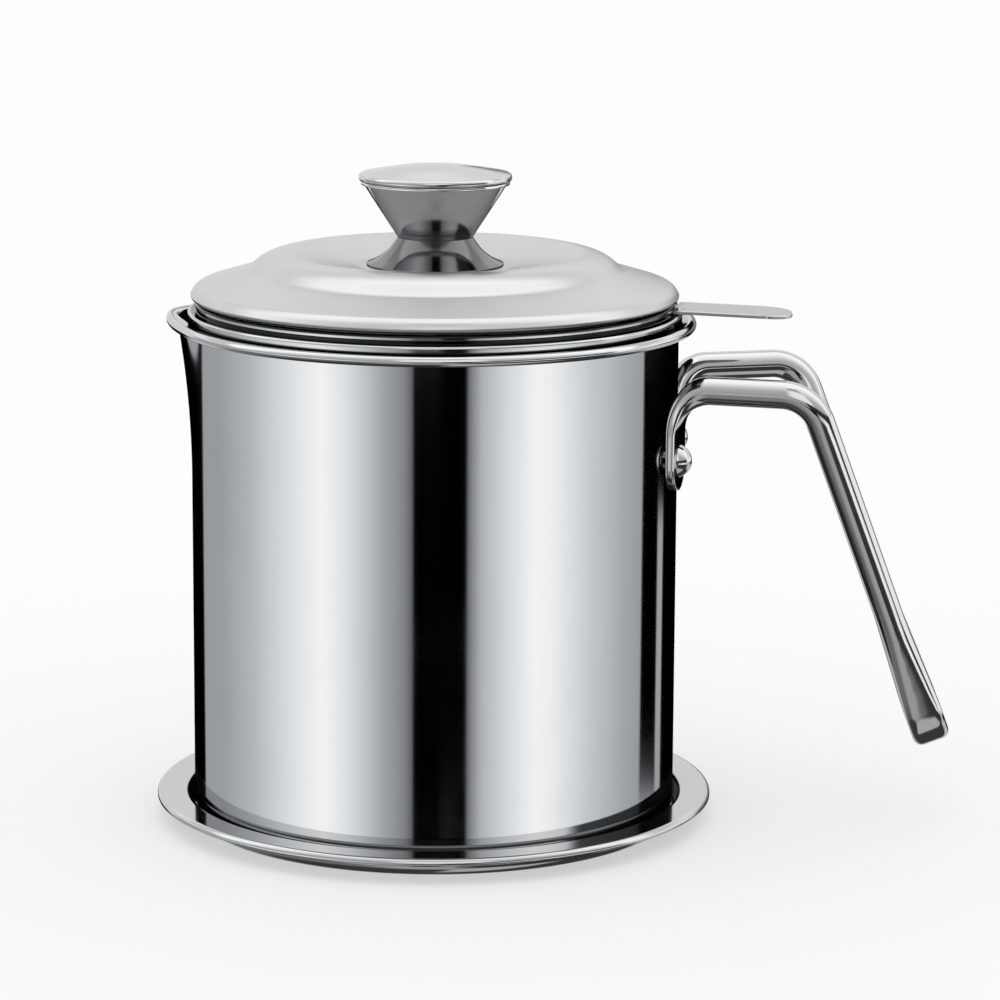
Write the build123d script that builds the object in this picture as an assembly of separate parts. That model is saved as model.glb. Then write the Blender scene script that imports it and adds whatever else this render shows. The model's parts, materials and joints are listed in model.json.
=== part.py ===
from build123d import *
import math
import os

# Oil strainer jug: millimetres, +Z up, origin on the jug's axis at the tray's underside, handle towards +X.

# Shared fits
cut_overrun = 5.0
seam_gap = 0.1
seat_gap = 0.3

# Drip tray
tray_sheet = 0.8
tray_height = 6.4
tray_flange_radius = 69.3
tray_well_gap = 1.2
tray_well_corner = 2.6
tray_lip_corner = 0.7
tray_hem_drop = 1.6
tray_hem_corner = 0.4

# Jug cup
jug_radius = 60.0
jug_height = 124.3
jug_wall = 0.7
jug_corner = 4.0
foot_ring_width = 12.0
foot_dish_rise = 0.8
foot_dish_corner = 1.6

# Rolled lip and pouring spout
lip_reach = 4.3
lip_bead = 2.5
lip_step = 0.25
spout_height = 40.0
spout_reach = 3.7
spout_half_angle = 21.0
lip_spout_reach = 1.8
lip_spout_half_angle = 17.0
spout_level_shares = (0.0, 0.25, 0.5, 0.75, 1.0)

# Loop handle
handle_half_angle = 15.5
handle_drop = 15.0
handle_reach = 31.3
bar_size = 7.0
bar_corner = 3.4
root_bend = 7.5
tongue_gap = 0.2
tongue_thickness = 2.2
tongue_width = 12.0
tongue_corner = 0.6
tongue_length = 14.0
outer_bend = 9.5
grip_length = 94.0
grip_slant = 20.3
grip_end_radius = 9.0
grip_end_size = 9.2
grip_end_corner = 2.2
grip_swell_share = 0.72
flatten_shares = (0.0, 0.25, 0.5, 0.75, 1.0)

# Handle rivets
rivet_shank = 4.8
rivet_hole = 5.0
rivet_head = 8.0
rivet_dome = 3.0
rivet_tail = 7.2
rivet_tail_dome = 1.1
rivet_setback = 6.7

# Strainer
collar_clearance = 0.7
collar_sheet = 0.7
collar_depth = 12.0
collar_rise = 2.4
collar_hem = 1.4
rim_overlap = 0.8
rim_height = 2.15
rim_corner = 0.6
mesh_sheet = 0.5
mesh_band = 6.0
mesh_depth = 34.0
mesh_crown = 3.0
mesh_corner = 24.0
mesh_flat = 8.0
clamp_sheet = 0.6

# Strainer tab
tab_width = 16.0
tab_sheet = 0.9
tab_reach = 27.0
tab_flat = 1.4
tab_droop = 1.2
tab_end_corner = 6.5
weld_size = 1.8
weld_dome = 0.35
weld_spacing = 9.0

# Lid
lid_overhang = 1.4
lid_sheet = 0.7
lid_bead = 2.5
edge_rise = 3.2
edge_width = 1.1
edge_corner = 3.0
brim_width = 13.7
brim_rise = 3.8
crease_corner = 4.0
shoulder_width = 5.8
crest_rise = 5.2
crest_corner = 10.0
seat_drop = 4.0
seat_margin = 2.2
seat_corner = 6.0
skirt_clearance = 0.5
skirt_sheet = 0.7
skirt_depth = 7.8
skirt_flange = 5.5
skirt_corner = 1.2

# Knob
knob_base_radius = 16.8
knob_base_sheet = 0.5
knob_foot_rim = 0.4
knob_waist_radius = 9.25
knob_base_height = 6.9
knob_flare_in = 4.6
knob_flare_rise = 2.1
knob_flare_corner = 10.0
knob_sheet = 0.8
knob_cup_height = 12.5
knob_cup_radius = 17.6
knob_cup_flange = 1.4
knob_cap_radius = 18.8
knob_cap_edge = 3.0
knob_cap_crown = 2.3
knob_cap_flat = 6.0
knob_cap_bow = 60.0
knob_cap_corner = 2.0
knob_cap_lip_corner = 0.9

# Knob fastening
screw_shank = 4.8
screw_hole = 5.4
screw_head = 9.0
screw_head_height = 2.6
screw_head_corner = 1.2
washer_size = 12.0
washer_sheet = 1.0
nut_flats = 8.0
nut_height = 4.0

# Heights and radii that the pieces share
jug_bottom = tray_sheet
lip_top = jug_bottom + jug_height
rim_seat = lip_top - lip_step
spout_foot = rim_seat - spout_height
jug_bore = jug_radius - jug_wall
collar_outer = jug_bore - collar_clearance
collar_bore = collar_outer - collar_sheet
rim_top = rim_seat + rim_height
rim_radius = jug_radius + rim_overlap
collar_top = rim_top + collar_rise
collar_bottom = rim_seat - collar_depth
lid_edge = collar_top + seat_gap
lid_radius = collar_outer + lid_overhang
brim_radius = lid_radius - edge_width
brim_level = lid_edge + edge_rise
crease_radius = lid_radius - brim_width
crease_level = brim_level + brim_rise
crest_radius = crease_radius - shoulder_width
crest_level = crease_level + crest_rise
seat_level = crest_level - seat_drop
seat_radius = knob_base_radius + seat_margin
waist_level = seat_level + knob_base_height
cap_level = waist_level + knob_cup_height
leg_level = lip_top - handle_drop


def ring(outline):
    """Turns a closed outline, drawn as radius and height, about the jug's axis."""
    return revolve(Plane.XZ * make_face(outline), Axis.Z)


def sheet_ring(points, corners, thickness, side):
    """A pressed sheet: its drawn side follows the points, its thickness lies on the given side."""
    path = FilletPolyline(*points, radius=corners)
    return ring(path.wire().offset_2d(thickness, side=side).edges())


def band(inner, outer, bottom, top):
    """A plain ring of rectangular section, as a sketch of radius and height."""
    middle = Pos((inner + outer) / 2, (bottom + top) / 2)
    return middle * Rectangle(outer - inner, top - bottom)


def bore(diameter, bottom, top):
    """A round cutter on the axis, overrun at both ends."""
    height = top - bottom + 2 * cut_overrun
    return Pos(0, 0, (bottom + top) / 2) * Cylinder(diameter / 2, height)


def save(shape, name):
    export_step(shape, f"parts/{name}.step")


# Drip tray
def make_tray():
    well_radius = jug_radius + tray_well_gap + tray_sheet
    flange_under = tray_height - tray_sheet
    edge_inside = tray_flange_radius - tray_sheet
    points = [
        (0, 0),
        (well_radius, 0),
        (well_radius, flange_under),
        (edge_inside, flange_under),
        (edge_inside, tray_height - tray_hem_drop),
    ]
    corners = [tray_well_corner, tray_lip_corner, tray_hem_corner]
    return sheet_ring(points, corners, tray_sheet, Side.LEFT)


# Jug body
def spout_section(radius, bulge, level):
    """A round section whose wall swells to a spout on the -X side."""
    reach = math.radians(spout_half_angle)
    back = (-radius * math.cos(reach), radius * math.sin(reach))
    front = (-radius * math.cos(reach), -radius * math.sin(reach))
    round_wall = ThreePointArc(back, (radius, 0), front)
    spout_wall = ThreePointArc(front, (-radius - bulge, 0), back)
    return Pos(0, 0, level) * make_face([round_wall, spout_wall])


def spout_loft(radius):
    """The upper wall, from plain round at the spout's foot to the full spout at the lip."""
    sections = []
    for share in spout_level_shares:
        bulge = spout_reach * share * share
        sections.append(spout_section(radius, bulge, spout_foot + spout_height * share))
    return loft(sections)


def lip_outline(radius):
    """The lip's line in plan: a round rim drawn out to a rounded point at the spout."""
    turn = math.radians(lip_spout_half_angle)
    tip_radius = radius - lip_spout_reach / (1 / math.cos(turn) - 1)
    tip_centre = radius + lip_spout_reach - tip_radius
    side_x, side_y = -math.cos(turn), math.sin(turn)
    rim_back = (radius * side_x, radius * side_y)
    rim_front = (radius * side_x, -radius * side_y)
    tip_back = (tip_radius * side_x - tip_centre, tip_radius * side_y)
    tip_front = (tip_radius * side_x - tip_centre, -tip_radius * side_y)
    return Wire(
        [
            ThreePointArc(rim_back, (radius, 0), rim_front).edge(),
            Line(rim_front, tip_front).edge(),
            ThreePointArc(tip_front, (-tip_radius - tip_centre, 0), tip_back).edge(),
            Line(tip_back, rim_back).edge(),
        ]
    )


def rivet_frame(sign):
    """Frame on a tongue's outer face, looking straight out from the wall, at its rivet."""
    turn = sign * math.radians(handle_half_angle)
    out = Vector(math.cos(turn), math.sin(turn), 0)
    level = leg_level - bar_size / 2 - root_bend - rivet_setback
    face = jug_radius + tongue_gap + tongue_thickness
    return Plane(origin=out * face + Vector(0, 0, level), x_dir=(0, 0, 1), z_dir=out)


def rivet_bores():
    """Cutters for the rivets' holes, through tongue and wall."""
    depth = tongue_thickness + tongue_gap + jug_wall + 2 * cut_overrun
    cutter = Pos(0, 0, -(depth / 2 - cut_overrun)) * Cylinder(rivet_hole / 2, depth)
    return [rivet_frame(sign).location * cutter for sign in (-1, 1)]


def make_jug():
    dish_radius = jug_radius - foot_ring_width
    dish_slope = foot_dish_rise * 2
    points = [
        (0, jug_bottom + foot_dish_rise),
        (dish_radius - dish_slope, jug_bottom + foot_dish_rise),
        (dish_radius, jug_bottom),
        (jug_radius, jug_bottom),
        (jug_radius, spout_foot),
    ]
    cup = sheet_ring(points, [foot_dish_corner, foot_dish_corner, jug_corner], jug_wall, Side.LEFT)
    upper_wall = spout_loft(jug_radius) - spout_loft(jug_bore)
    bead_path = lip_outline(jug_radius + lip_reach - lip_bead / 2)
    inside = spout_section(jug_radius - jug_wall / 2, spout_reach, 0)
    flange = Pos(0, 0, rim_seat) * extrude(make_face(bead_path.edges()) - inside, -jug_wall)
    start = Plane(origin=bead_path @ 0, z_dir=bead_path % 0)
    bead = Pos(0, 0, lip_top - lip_bead / 2) * sweep(start * Circle(lip_bead / 2), path=bead_path)
    jug = cup + upper_wall + flange + bead
    for cutter in rivet_bores():
        jug -= cutter
    return jug


# Loop handle
def bar_section(plane, width, thickness, corner):
    limit = min(width, thickness) / 2 - seam_gap
    return plane * RectangleRounded(width, thickness, min(corner, limit))


def half_handle():
    """One leg: riveted tongue, root bend, level leg, outer bend, slanted grip and half of the end's U."""
    turn = math.radians(handle_half_angle)
    out = Vector(math.cos(turn), -math.sin(turn), 0)
    side = Vector(math.sin(turn), math.cos(turn), 0)
    up = Vector(0, 0, 1)
    bend_radius = jug_radius + tongue_gap + tongue_thickness + root_bend
    bend_level = leg_level - bar_size / 2 - root_bend

    # Root bend: the bar is drawn out flat and wide as it turns down the wall
    sections = []
    for share in flatten_shares:
        angle = math.radians(90 * share)
        flattened = math.sin(angle)
        width = bar_size + (tongue_width - bar_size) * flattened
        thickness = bar_size + (tongue_thickness - bar_size) * flattened
        corner = bar_corner + (tongue_corner - bar_corner) * flattened
        arm = root_bend + thickness / 2
        centre = out * (bend_radius - arm * math.sin(angle)) + up * (bend_level + arm * math.cos(angle))
        along = out * math.cos(angle) + up * math.sin(angle)
        plane = Plane(origin=centre, x_dir=side, z_dir=along)
        sections.append(bar_section(plane, width, thickness, corner))
    root = loft(sections)

    # Tongue: flat on the wall, with a round end
    tongue = extrude(sections[-1], -tongue_length, dir=(0, 0, 1))
    end_drop = tongue_length - tongue_width / 2
    end_frame = Plane(
        origin=out * bend_radius + up * bend_level,
        x_dir=side,
        z_dir=out,
    )
    straight = Pos(0, -end_drop / 2) * Rectangle(tongue_width + seam_gap, end_drop)
    blank = straight + Pos(0, -end_drop) * Circle(tongue_width / 2)
    tongue &= extrude(end_frame * blank, bend_radius, both=True)

    # Level leg and the bend down to the grip
    slant = math.radians(grip_slant)
    down = Vector(math.sin(slant), 0, -math.cos(slant))
    across = Vector(0, 1, 0)
    corner_out = (jug_radius + handle_reach) / math.cos(turn)
    corner_point = out * corner_out + up * leg_level
    spread = corner_out * math.sin(turn)
    end_centre_down = grip_length - grip_end_radius
    to_centre = math.hypot(end_centre_down, spread)
    lean = math.atan2(spread, end_centre_down) - math.asin(grip_end_radius / to_centre)
    along_grip = down * math.cos(lean) + across * math.sin(lean)
    bend_angle = math.acos(out.dot(along_grip))
    setback = outer_bend * math.tan(bend_angle / 2)
    leg_start = Plane(origin=sections[0].center(), x_dir=side, z_dir=out)
    bend_start = corner_point - out * setback
    leg_length = (bend_start - leg_start.origin).length
    leg_face = bar_section(leg_start, bar_size, bar_size, bar_corner)
    leg = extrude(leg_face, leg_length, dir=out)
    inward = (along_grip - out * out.dot(along_grip)).normalized()
    bend_axis = Axis(bend_start + inward * outer_bend, out.cross(along_grip))
    bend_face = bar_section(Plane(origin=bend_start, x_dir=side, z_dir=out), bar_size, bar_size, bar_corner)
    bend = revolve(bend_face, bend_axis, math.degrees(bend_angle))

    # Grip: a slanted run, flattened broad near its end, that closes in a U at the bottom
    grip_start = corner_point + along_grip * setback
    grip_end = corner_point + along_grip * math.sqrt(to_centre**2 - grip_end_radius**2)
    rolled_side = side.rotate(Axis((0, 0, 0), out.cross(along_grip)), math.degrees(bend_angle))
    flat_side = across * math.cos(lean) - down * math.sin(lean)
    swell_start = grip_start + (grip_end - grip_start) * grip_swell_share
    first = bar_section(Plane(grip_start, rolled_side, along_grip), bar_size, bar_size, bar_corner)
    swell = bar_section(Plane(swell_start, flat_side, along_grip), bar_size, bar_size, bar_corner)
    last = bar_section(Plane(grip_end, flat_side, along_grip), bar_size, grip_end_size, grip_end_corner)
    grip = loft([first, swell, last], ruled=True)
    end_centre = corner_point + down * end_centre_down + across * spread
    end_axis = Axis(end_centre, along_grip.cross(across))
    end = revolve(last, end_axis, 90 - math.degrees(lean))
    return root + tongue + leg + bend + grip + end


def make_handle():
    half = half_handle()
    loop = half + mirror(half, Plane.XZ)
    for cutter in rivet_bores():
        loop -= cutter
    return loop


def make_rivets():
    """Domed heads outside, flatter closed heads inside the wall."""
    grip = tongue_thickness + tongue_gap + jug_wall
    tail_sag = jug_bore - math.sqrt(jug_bore**2 - (rivet_tail / 2) ** 2)
    tail_seat = -grip - tail_sag - seam_gap
    head = [
        ThreePointArc(
            (rivet_head / 2, 0),
            dome_middle(rivet_head / 2, rivet_dome),
            (0, rivet_dome),
        ),
        Line((0, rivet_dome), (0, tail_seat - rivet_tail_dome)),
        ThreePointArc(
            (0, tail_seat - rivet_tail_dome),
            dome_middle(rivet_tail / 2, -rivet_tail_dome, tail_seat),
            (rivet_tail / 2, tail_seat),
        ),
        Polyline(
            (rivet_tail / 2, tail_seat),
            (rivet_shank / 2, tail_seat),
            (rivet_shank / 2, 0),
            (rivet_head / 2, 0),
        ),
    ]
    rivet = ring(head)
    return [rivet_frame(sign).location * rivet for sign in (-1, 1)]


def dome_middle(radius, height, base=0.0):
    """The point half-way along the arc of a shallow dome, in radius and height."""
    bow = (radius**2 + height**2) / (2 * abs(height))
    half_turn = math.asin(radius / bow) / 2
    rise = height - math.copysign(bow * (1 - math.cos(half_turn)), height)
    return (bow * math.sin(half_turn), base + rise)


# Strainer
def make_collar():
    wall = band(collar_bore, collar_outer, collar_bottom, collar_top - collar_hem / 2)
    hem_line = (collar_bore + collar_outer) / 2
    hem = Pos(hem_line, collar_top - collar_hem / 2) * Circle(collar_hem / 2)
    rim_width = rim_radius - hem_line
    rim_blank = RectangleRounded(rim_width * 2, rim_height, rim_corner)
    rim = Pos(hem_line, (rim_seat + rim_top) / 2) * rim_blank
    rim &= band(hem_line, rim_radius, rim_seat, rim_top)
    return revolve(Plane.XZ * (wall + hem + rim), Axis.Z)


def make_mesh():
    radius = collar_bore - seam_gap
    band_top = collar_bottom + mesh_band
    points = [
        (radius, band_top),
        (radius, collar_bottom - mesh_depth + mesh_crown),
        (mesh_flat, collar_bottom - mesh_depth),
        (0, collar_bottom - mesh_depth),
    ]
    return sheet_ring(points, [mesh_corner, mesh_flat], mesh_sheet, Side.RIGHT)


def make_clamp_ring():
    outer = collar_bore - mesh_sheet - 2 * seam_gap
    section = band(outer - clamp_sheet, outer, collar_bottom, collar_bottom + mesh_band)
    return revolve(Plane.XZ * section, Axis.Z)


def make_tab():
    root = collar_outer + seam_gap
    tip = rim_radius + tab_reach
    flat_end = rim_radius + tab_flat
    line = Polyline((0, rim_top), (flat_end, rim_top), (tip, rim_top - tab_droop))
    side_view = make_face(line.wire().offset_2d(tab_sheet, side=Side.LEFT).edges())
    strip = extrude(Plane.XZ * side_view, tab_width / 2, both=True)
    plan = Pos(tip / 2, 0) * Rectangle(tip, tab_width)
    end_corners = plan.vertices().group_by(Axis.X)[-1]
    plan = fillet(end_corners, min(tab_end_corner, tab_width / 2 - seam_gap))
    strip &= extrude(plan, rim_top + cut_overrun + tab_sheet)
    return strip - bore(root * 2, rim_top, rim_top + tab_sheet)


def make_tab_welds():
    """Two weld nuggets on the tab, over the strainer's rim."""
    outline = [
        ThreePointArc((weld_size / 2, 0), dome_middle(weld_size / 2, weld_dome), (0, weld_dome)),
        Polyline((0, weld_dome), (0, 0), (weld_size / 2, 0)),
    ]
    nugget = ring(outline)
    inset = (collar_outer + seam_gap + rim_radius) / 2
    places = [(inset, sign * weld_spacing / 2) for sign in (-1, 1)]
    return [Pos(x, y, rim_top + tab_sheet) * nugget for x, y in places]


# Lid
def make_lid():
    points = [
        (0, seat_level),
        (seat_radius, seat_level),
        (crest_radius, crest_level),
        (crease_radius, crease_level),
        (brim_radius, brim_level),
        (lid_radius, lid_edge + lid_bead / 2),
    ]
    corners = [seat_corner, crest_corner, crease_corner, edge_corner]
    shell = sheet_ring(points, corners, lid_sheet, Side.RIGHT)
    bead_section = Pos(lid_radius - lid_bead / 2, lid_edge + lid_bead / 2) * Circle(lid_bead / 2)
    shell += revolve(Plane.XZ * bead_section, Axis.Z)
    return shell - bore(screw_hole, seat_level - lid_sheet, seat_level)


def make_lid_skirt():
    """Locating ring whose top flange lies along the underside of the brim."""
    slope = math.atan2(brim_rise, brim_radius - crease_radius)
    under = (lid_sheet + seam_gap) / math.cos(slope)
    radius = collar_bore - skirt_clearance
    turn_level = brim_level + (brim_radius - radius) * math.tan(slope) - under
    flange_radius = radius - skirt_flange
    points = [
        (radius, collar_top - skirt_depth),
        (radius, turn_level),
        (flange_radius, turn_level + skirt_flange * math.tan(slope)),
    ]
    return sheet_ring(points, [skirt_corner], skirt_sheet, Side.LEFT)


# Knob
def make_knob_base():
    flare = (knob_base_radius - knob_flare_in, seat_level + knob_foot_rim + knob_flare_rise)
    points = [
        (knob_base_radius, seat_level),
        (knob_base_radius, seat_level + knob_foot_rim),
        flare,
        (knob_waist_radius, waist_level),
        (screw_hole / 2, waist_level),
    ]
    return sheet_ring(points, [0, knob_flare_corner, 0], knob_base_sheet, Side.LEFT)


def make_knob_cup():
    points = [
        (screw_hole / 2, waist_level),
        (knob_waist_radius, waist_level),
        (knob_cup_radius, cap_level - seam_gap - knob_sheet),
        (knob_cup_radius + knob_cup_flange / 2, cap_level - seam_gap - knob_sheet),
    ]
    return sheet_ring(points, [0, 0], knob_sheet, Side.LEFT)


def make_knob_cap():
    """Domed disc whose edge is rolled under to sit on the cup's flange."""
    edge_level = cap_level + knob_cap_edge
    top = edge_level + knob_cap_crown
    points = [
        (0, top),
        (knob_cap_flat, top),
        (knob_cap_radius, edge_level),
        (knob_cap_radius, cap_level),
        (knob_cup_radius - knob_cup_flange / 2, cap_level),
    ]
    corners = [knob_cap_bow, knob_cap_corner, knob_cap_lip_corner]
    return sheet_ring(points, corners, knob_sheet, Side.RIGHT)


def make_knob_nut():
    hexagon = RegularPolygon(nut_flats / 2, 6, major_radius=False)
    floor = waist_level + knob_sheet
    nut = Pos(0, 0, floor) * extrude(hexagon, nut_height)
    return nut - bore(screw_shank + 2 * seam_gap, floor, floor + nut_height)


def make_knob_screw():
    head_top = seat_level - lid_sheet - washer_sheet
    head = Pos(0, 0, head_top - screw_head_height / 2) * Cylinder(screw_head / 2, screw_head_height)
    rim = head.edges().group_by(Axis.Z)[0]
    head = fillet(rim, screw_head_corner)
    shank_top = waist_level + knob_sheet + nut_height
    shank = Pos(0, 0, (head_top + shank_top) / 2) * Cylinder(screw_shank / 2, shank_top - head_top)
    return head + shank


def make_knob_washer():
    top = seat_level - lid_sheet
    section = band(screw_hole / 2, washer_size / 2, top - washer_sheet, top)
    return revolve(Plane.XZ * section, Axis.Z)


os.makedirs("parts", exist_ok=True)
save(make_tray(), "tray")
save(make_jug(), "jug_body")
save(make_handle(), "handle_loop")
save(Compound(make_rivets()), "handle_rivets")
save(make_collar(), "strainer_collar")
save(make_mesh(), "strainer_mesh")
save(make_clamp_ring(), "strainer_clamp_ring")
save(make_tab(), "strainer_tab")
save(Compound(make_tab_welds()), "tab_spot_welds")
save(make_lid(), "lid_shell")
save(make_lid_skirt(), "lid_skirt")
save(make_knob_base(), "knob_base")
save(make_knob_cup(), "knob_cup")
save(make_knob_cap(), "knob_cap")
save(make_knob_nut(), "knob_nut")
save(make_knob_screw(), "knob_screw")
save(make_knob_washer(), "knob_washer")
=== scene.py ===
"""Oil strainer jug in polished steel: finished surfaces for the packed part, with a stage and a camera."""

import json
import math

import bmesh
import bpy
from bpy.props import FloatProperty, FloatVectorProperty, PointerProperty
from mathutils import Matrix, Vector


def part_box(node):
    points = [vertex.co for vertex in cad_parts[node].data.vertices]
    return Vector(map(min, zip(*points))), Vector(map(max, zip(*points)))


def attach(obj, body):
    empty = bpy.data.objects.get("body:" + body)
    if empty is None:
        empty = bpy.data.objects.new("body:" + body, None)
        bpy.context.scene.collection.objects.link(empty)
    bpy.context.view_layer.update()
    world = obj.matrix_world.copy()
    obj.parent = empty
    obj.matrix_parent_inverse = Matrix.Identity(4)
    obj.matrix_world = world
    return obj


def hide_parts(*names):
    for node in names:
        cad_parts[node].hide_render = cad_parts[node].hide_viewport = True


bl_info = {
    "name": "Oil strainer jug",
    "version": (1, 0, 0),
    "blender": (4, 5, 0),
    "location": "3D View > Sidebar > Jug",
    "description": "Builds a steel oil strainer jug with tray, strainer, lid and handle",
    "category": "Object",
}

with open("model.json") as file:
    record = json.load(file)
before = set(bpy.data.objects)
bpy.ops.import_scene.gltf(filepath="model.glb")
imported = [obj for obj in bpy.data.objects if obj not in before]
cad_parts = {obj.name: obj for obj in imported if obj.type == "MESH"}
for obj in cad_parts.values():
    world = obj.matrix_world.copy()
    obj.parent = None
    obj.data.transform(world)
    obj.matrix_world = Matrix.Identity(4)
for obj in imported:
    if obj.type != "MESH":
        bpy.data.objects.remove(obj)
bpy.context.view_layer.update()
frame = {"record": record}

ROUND_STEPS = 256
SMALL_STEPS = 48
ARC_STEP = math.radians(7)
LEAST_ARC_STEPS = 4
MERGE_DISTANCE = 1e-6
SHARP_ANGLE = math.radians(38)
EDGE_ANGLE = math.radians(55)
SHEET_EDGE = 0.00012
AXIS_UP = Vector((0, 0, 1))


# Sizes and colours


def size(description, default):
    """A length that the panel shows in the scene's units."""
    return FloatProperty(description=description, default=default, unit="LENGTH", precision=4)


def turn(description, degrees):
    """An angle, stored in radians."""
    return FloatProperty(description=description, default=math.radians(degrees), subtype="ANGLE")


def share(description, default):
    """A plain number from nothing to one."""
    return FloatProperty(description=description, default=default, min=0.0, max=1.0, subtype="FACTOR")


def tint(description, default):
    """A linear colour."""
    return FloatVectorProperty(description=description, default=default, size=3, subtype="COLOR")


class TraySizes(bpy.types.PropertyGroup):
    """Drip tray"""

    flange_radius: size("Outer radius of the flange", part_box("tray")[1].x)
    height: size("From the underside to the flange's top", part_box("tray")[1].z)
    sheet: size("Thickness of the tray's sheet", 0.0008)
    well_gap: size("Room between the jug's wall and the well", 0.0012)
    well_corner: size("Rounding at the bottom of the well", 0.0018)
    neck_corner: size("Rounding from the well to the flange", 0.0015)
    hem_drop: size("Height of the turned-down edge", 0.0016)
    hem_corner: size("Rounding of the turned-down edge", 0.0012)


class JugSizes(bpy.types.PropertyGroup):
    """Jug body with its lip and spout"""

    radius: size("Outside radius of the wall", 0.0600)
    wall: size("Thickness of the wall", 0.0007)
    bottom: size("Height of the jug's underside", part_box("jug_body")[0].z)
    top: size("Height of the lip's top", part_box("jug_body")[1].z)
    corner: size("Rounding inside the bottom corner", 0.0033)
    dish_rise: size("How far the bottom is pressed up", 0.0008)
    dish_radius: size("Radius of the pressed-up bottom", 0.0480)
    dish_corner: size("Rounding at the pressed-up bottom", 0.0016)
    lip_corner: size("Rounding from the wall to the lip", 0.0009)
    lip_reach: size("How far the rolled lip stands out from the wall", 0.0043)
    lip_bead: size("Diameter of the rolled bead", 0.0025)
    lip_step: size("How far the bead stands above the flat of the lip", 0.00025)
    spout_height: size("Height of the wall that swells to the spout", 0.0400)
    spout_reach: size("How far the wall swells at the spout", 0.0037)
    spout_lip_reach: size("How far the bead is drawn out at the spout", 0.0018)
    spout_raise: size("How far the spout's tip is lifted", 0.0010)
    spout_turn: turn("Half of the wall's arc that swells", 21.0)
    spout_lip_turn: turn("Half of the lip's arc that is drawn out", 19.0)


class HandleSizes(bpy.types.PropertyGroup):
    """Loop handle and its rivets"""

    half_turn: turn("Angle of each leg from the middle of the handle", 15.5)
    drop: size("From the lip's top down to the middle of the level legs", 0.0150)
    reach: size("From the wall out to the corner of the bar", 0.0313)
    bar: size("Width of the bar", 0.0070)
    bar_corner: size("Rounding of the bar's edges", 0.0034)
    root_bend: size("Inside radius of the bend at the wall", 0.0075)
    tongue_gap: size("Room between the tongue and the wall", 0.0002)
    tongue_thickness: size("Thickness of the flattened tongue", 0.0022)
    tongue_width: size("Width of the flattened tongue", 0.0120)
    tongue_corner: size("Rounding of the tongue's edges", 0.0006)
    tongue_length: size("Length of the flat tongue below the bend", 0.0140)
    outer_bend: size("Radius of the bar's middle at the outer bend", 0.0095)
    grip_length: size("From the corner down the slant to the end", 0.0940)
    grip_slant: turn("Lean of the grip away from the wall", 20.3)
    end_radius: size("Radius of the bar's middle round the end", 0.0090)
    end_size: size("Thickness of the bar at the end", 0.0092)
    end_corner: size("Rounding of the bar's edges at the end", 0.0022)
    swell_share: share("Share of the grip before it broadens", 0.72)
    rivet_head: size("Diameter of the outer head", 0.0080)
    rivet_dome: size("Height of the outer head", 0.0030)
    rivet_shank: size("Diameter of the shank", 0.0048)
    rivet_tail: size("Diameter of the inner head", 0.0072)
    rivet_tail_dome: size("Height of the inner head", 0.0011)
    rivet_setback: size("From the bend down to the rivet", 0.0067)


class StrainerSizes(bpy.types.PropertyGroup):
    """Strainer ring, cloth and tab"""

    outer: size("Outside radius of the collar", 0.0586)
    sheet: size("Thickness of the collar", 0.0007)
    bottom: size("Height of the collar's lower edge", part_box("strainer_collar")[0].z)
    top: size("Height of the hemmed top edge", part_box("strainer_collar")[1].z)
    hem: size("Diameter of the hemmed top edge", 0.0014)
    rim_radius: size("Outer radius of the rim that rests on the lip", 0.0608)
    rim_height: size("Height of that rim", 0.00215)
    rim_corner: size("Rounding of that rim", 0.0006)
    edge_corner: size("Small rounding of cut edges", 0.0002)
    cloth_pitch: size("Distance between the wires", 0.0015)
    cloth_wire: size("Diameter of a wire", 0.00036)
    cloth_gap: size("Room between the collar and the cloth", 0.00035)
    cloth_band: size("Height of cloth held by the clamp ring", 0.0060)
    cloth_depth: size("Depth of the bowl below the collar", 0.0338)
    cloth_crown: size("Rise of the bowl's floor towards its corner", 0.0030)
    cloth_corner: size("Rounding of the bowl's corner", 0.0240)
    clamp_sheet: size("Thickness of the clamp ring", 0.0006)
    clamp_gap: size("From the collar's bore in to the clamp ring", 0.0007)
    tab_width: size("Width of the thumb tab", 0.0160)
    tab_sheet: size("Thickness of the thumb tab", 0.0009)
    tab_end: size("Distance of the tab's end from the axis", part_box("strainer_tab")[1].x)
    tab_flat: size("Level stretch of the tab beyond the rim", 0.0014)
    tab_droop: size("Fall of the tab towards its end", 0.0012)
    tab_corner: size("Rounding of the tab's end corners", 0.0065)
    tab_edge: size("Rounding of the tab's long edges", 0.00022)
    weld_size: size("Diameter of a weld nugget", 0.0018)
    weld_dome: size("Height of a weld nugget", 0.00035)
    weld_spacing: size("Distance between the two nuggets", 0.0090)


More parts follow.
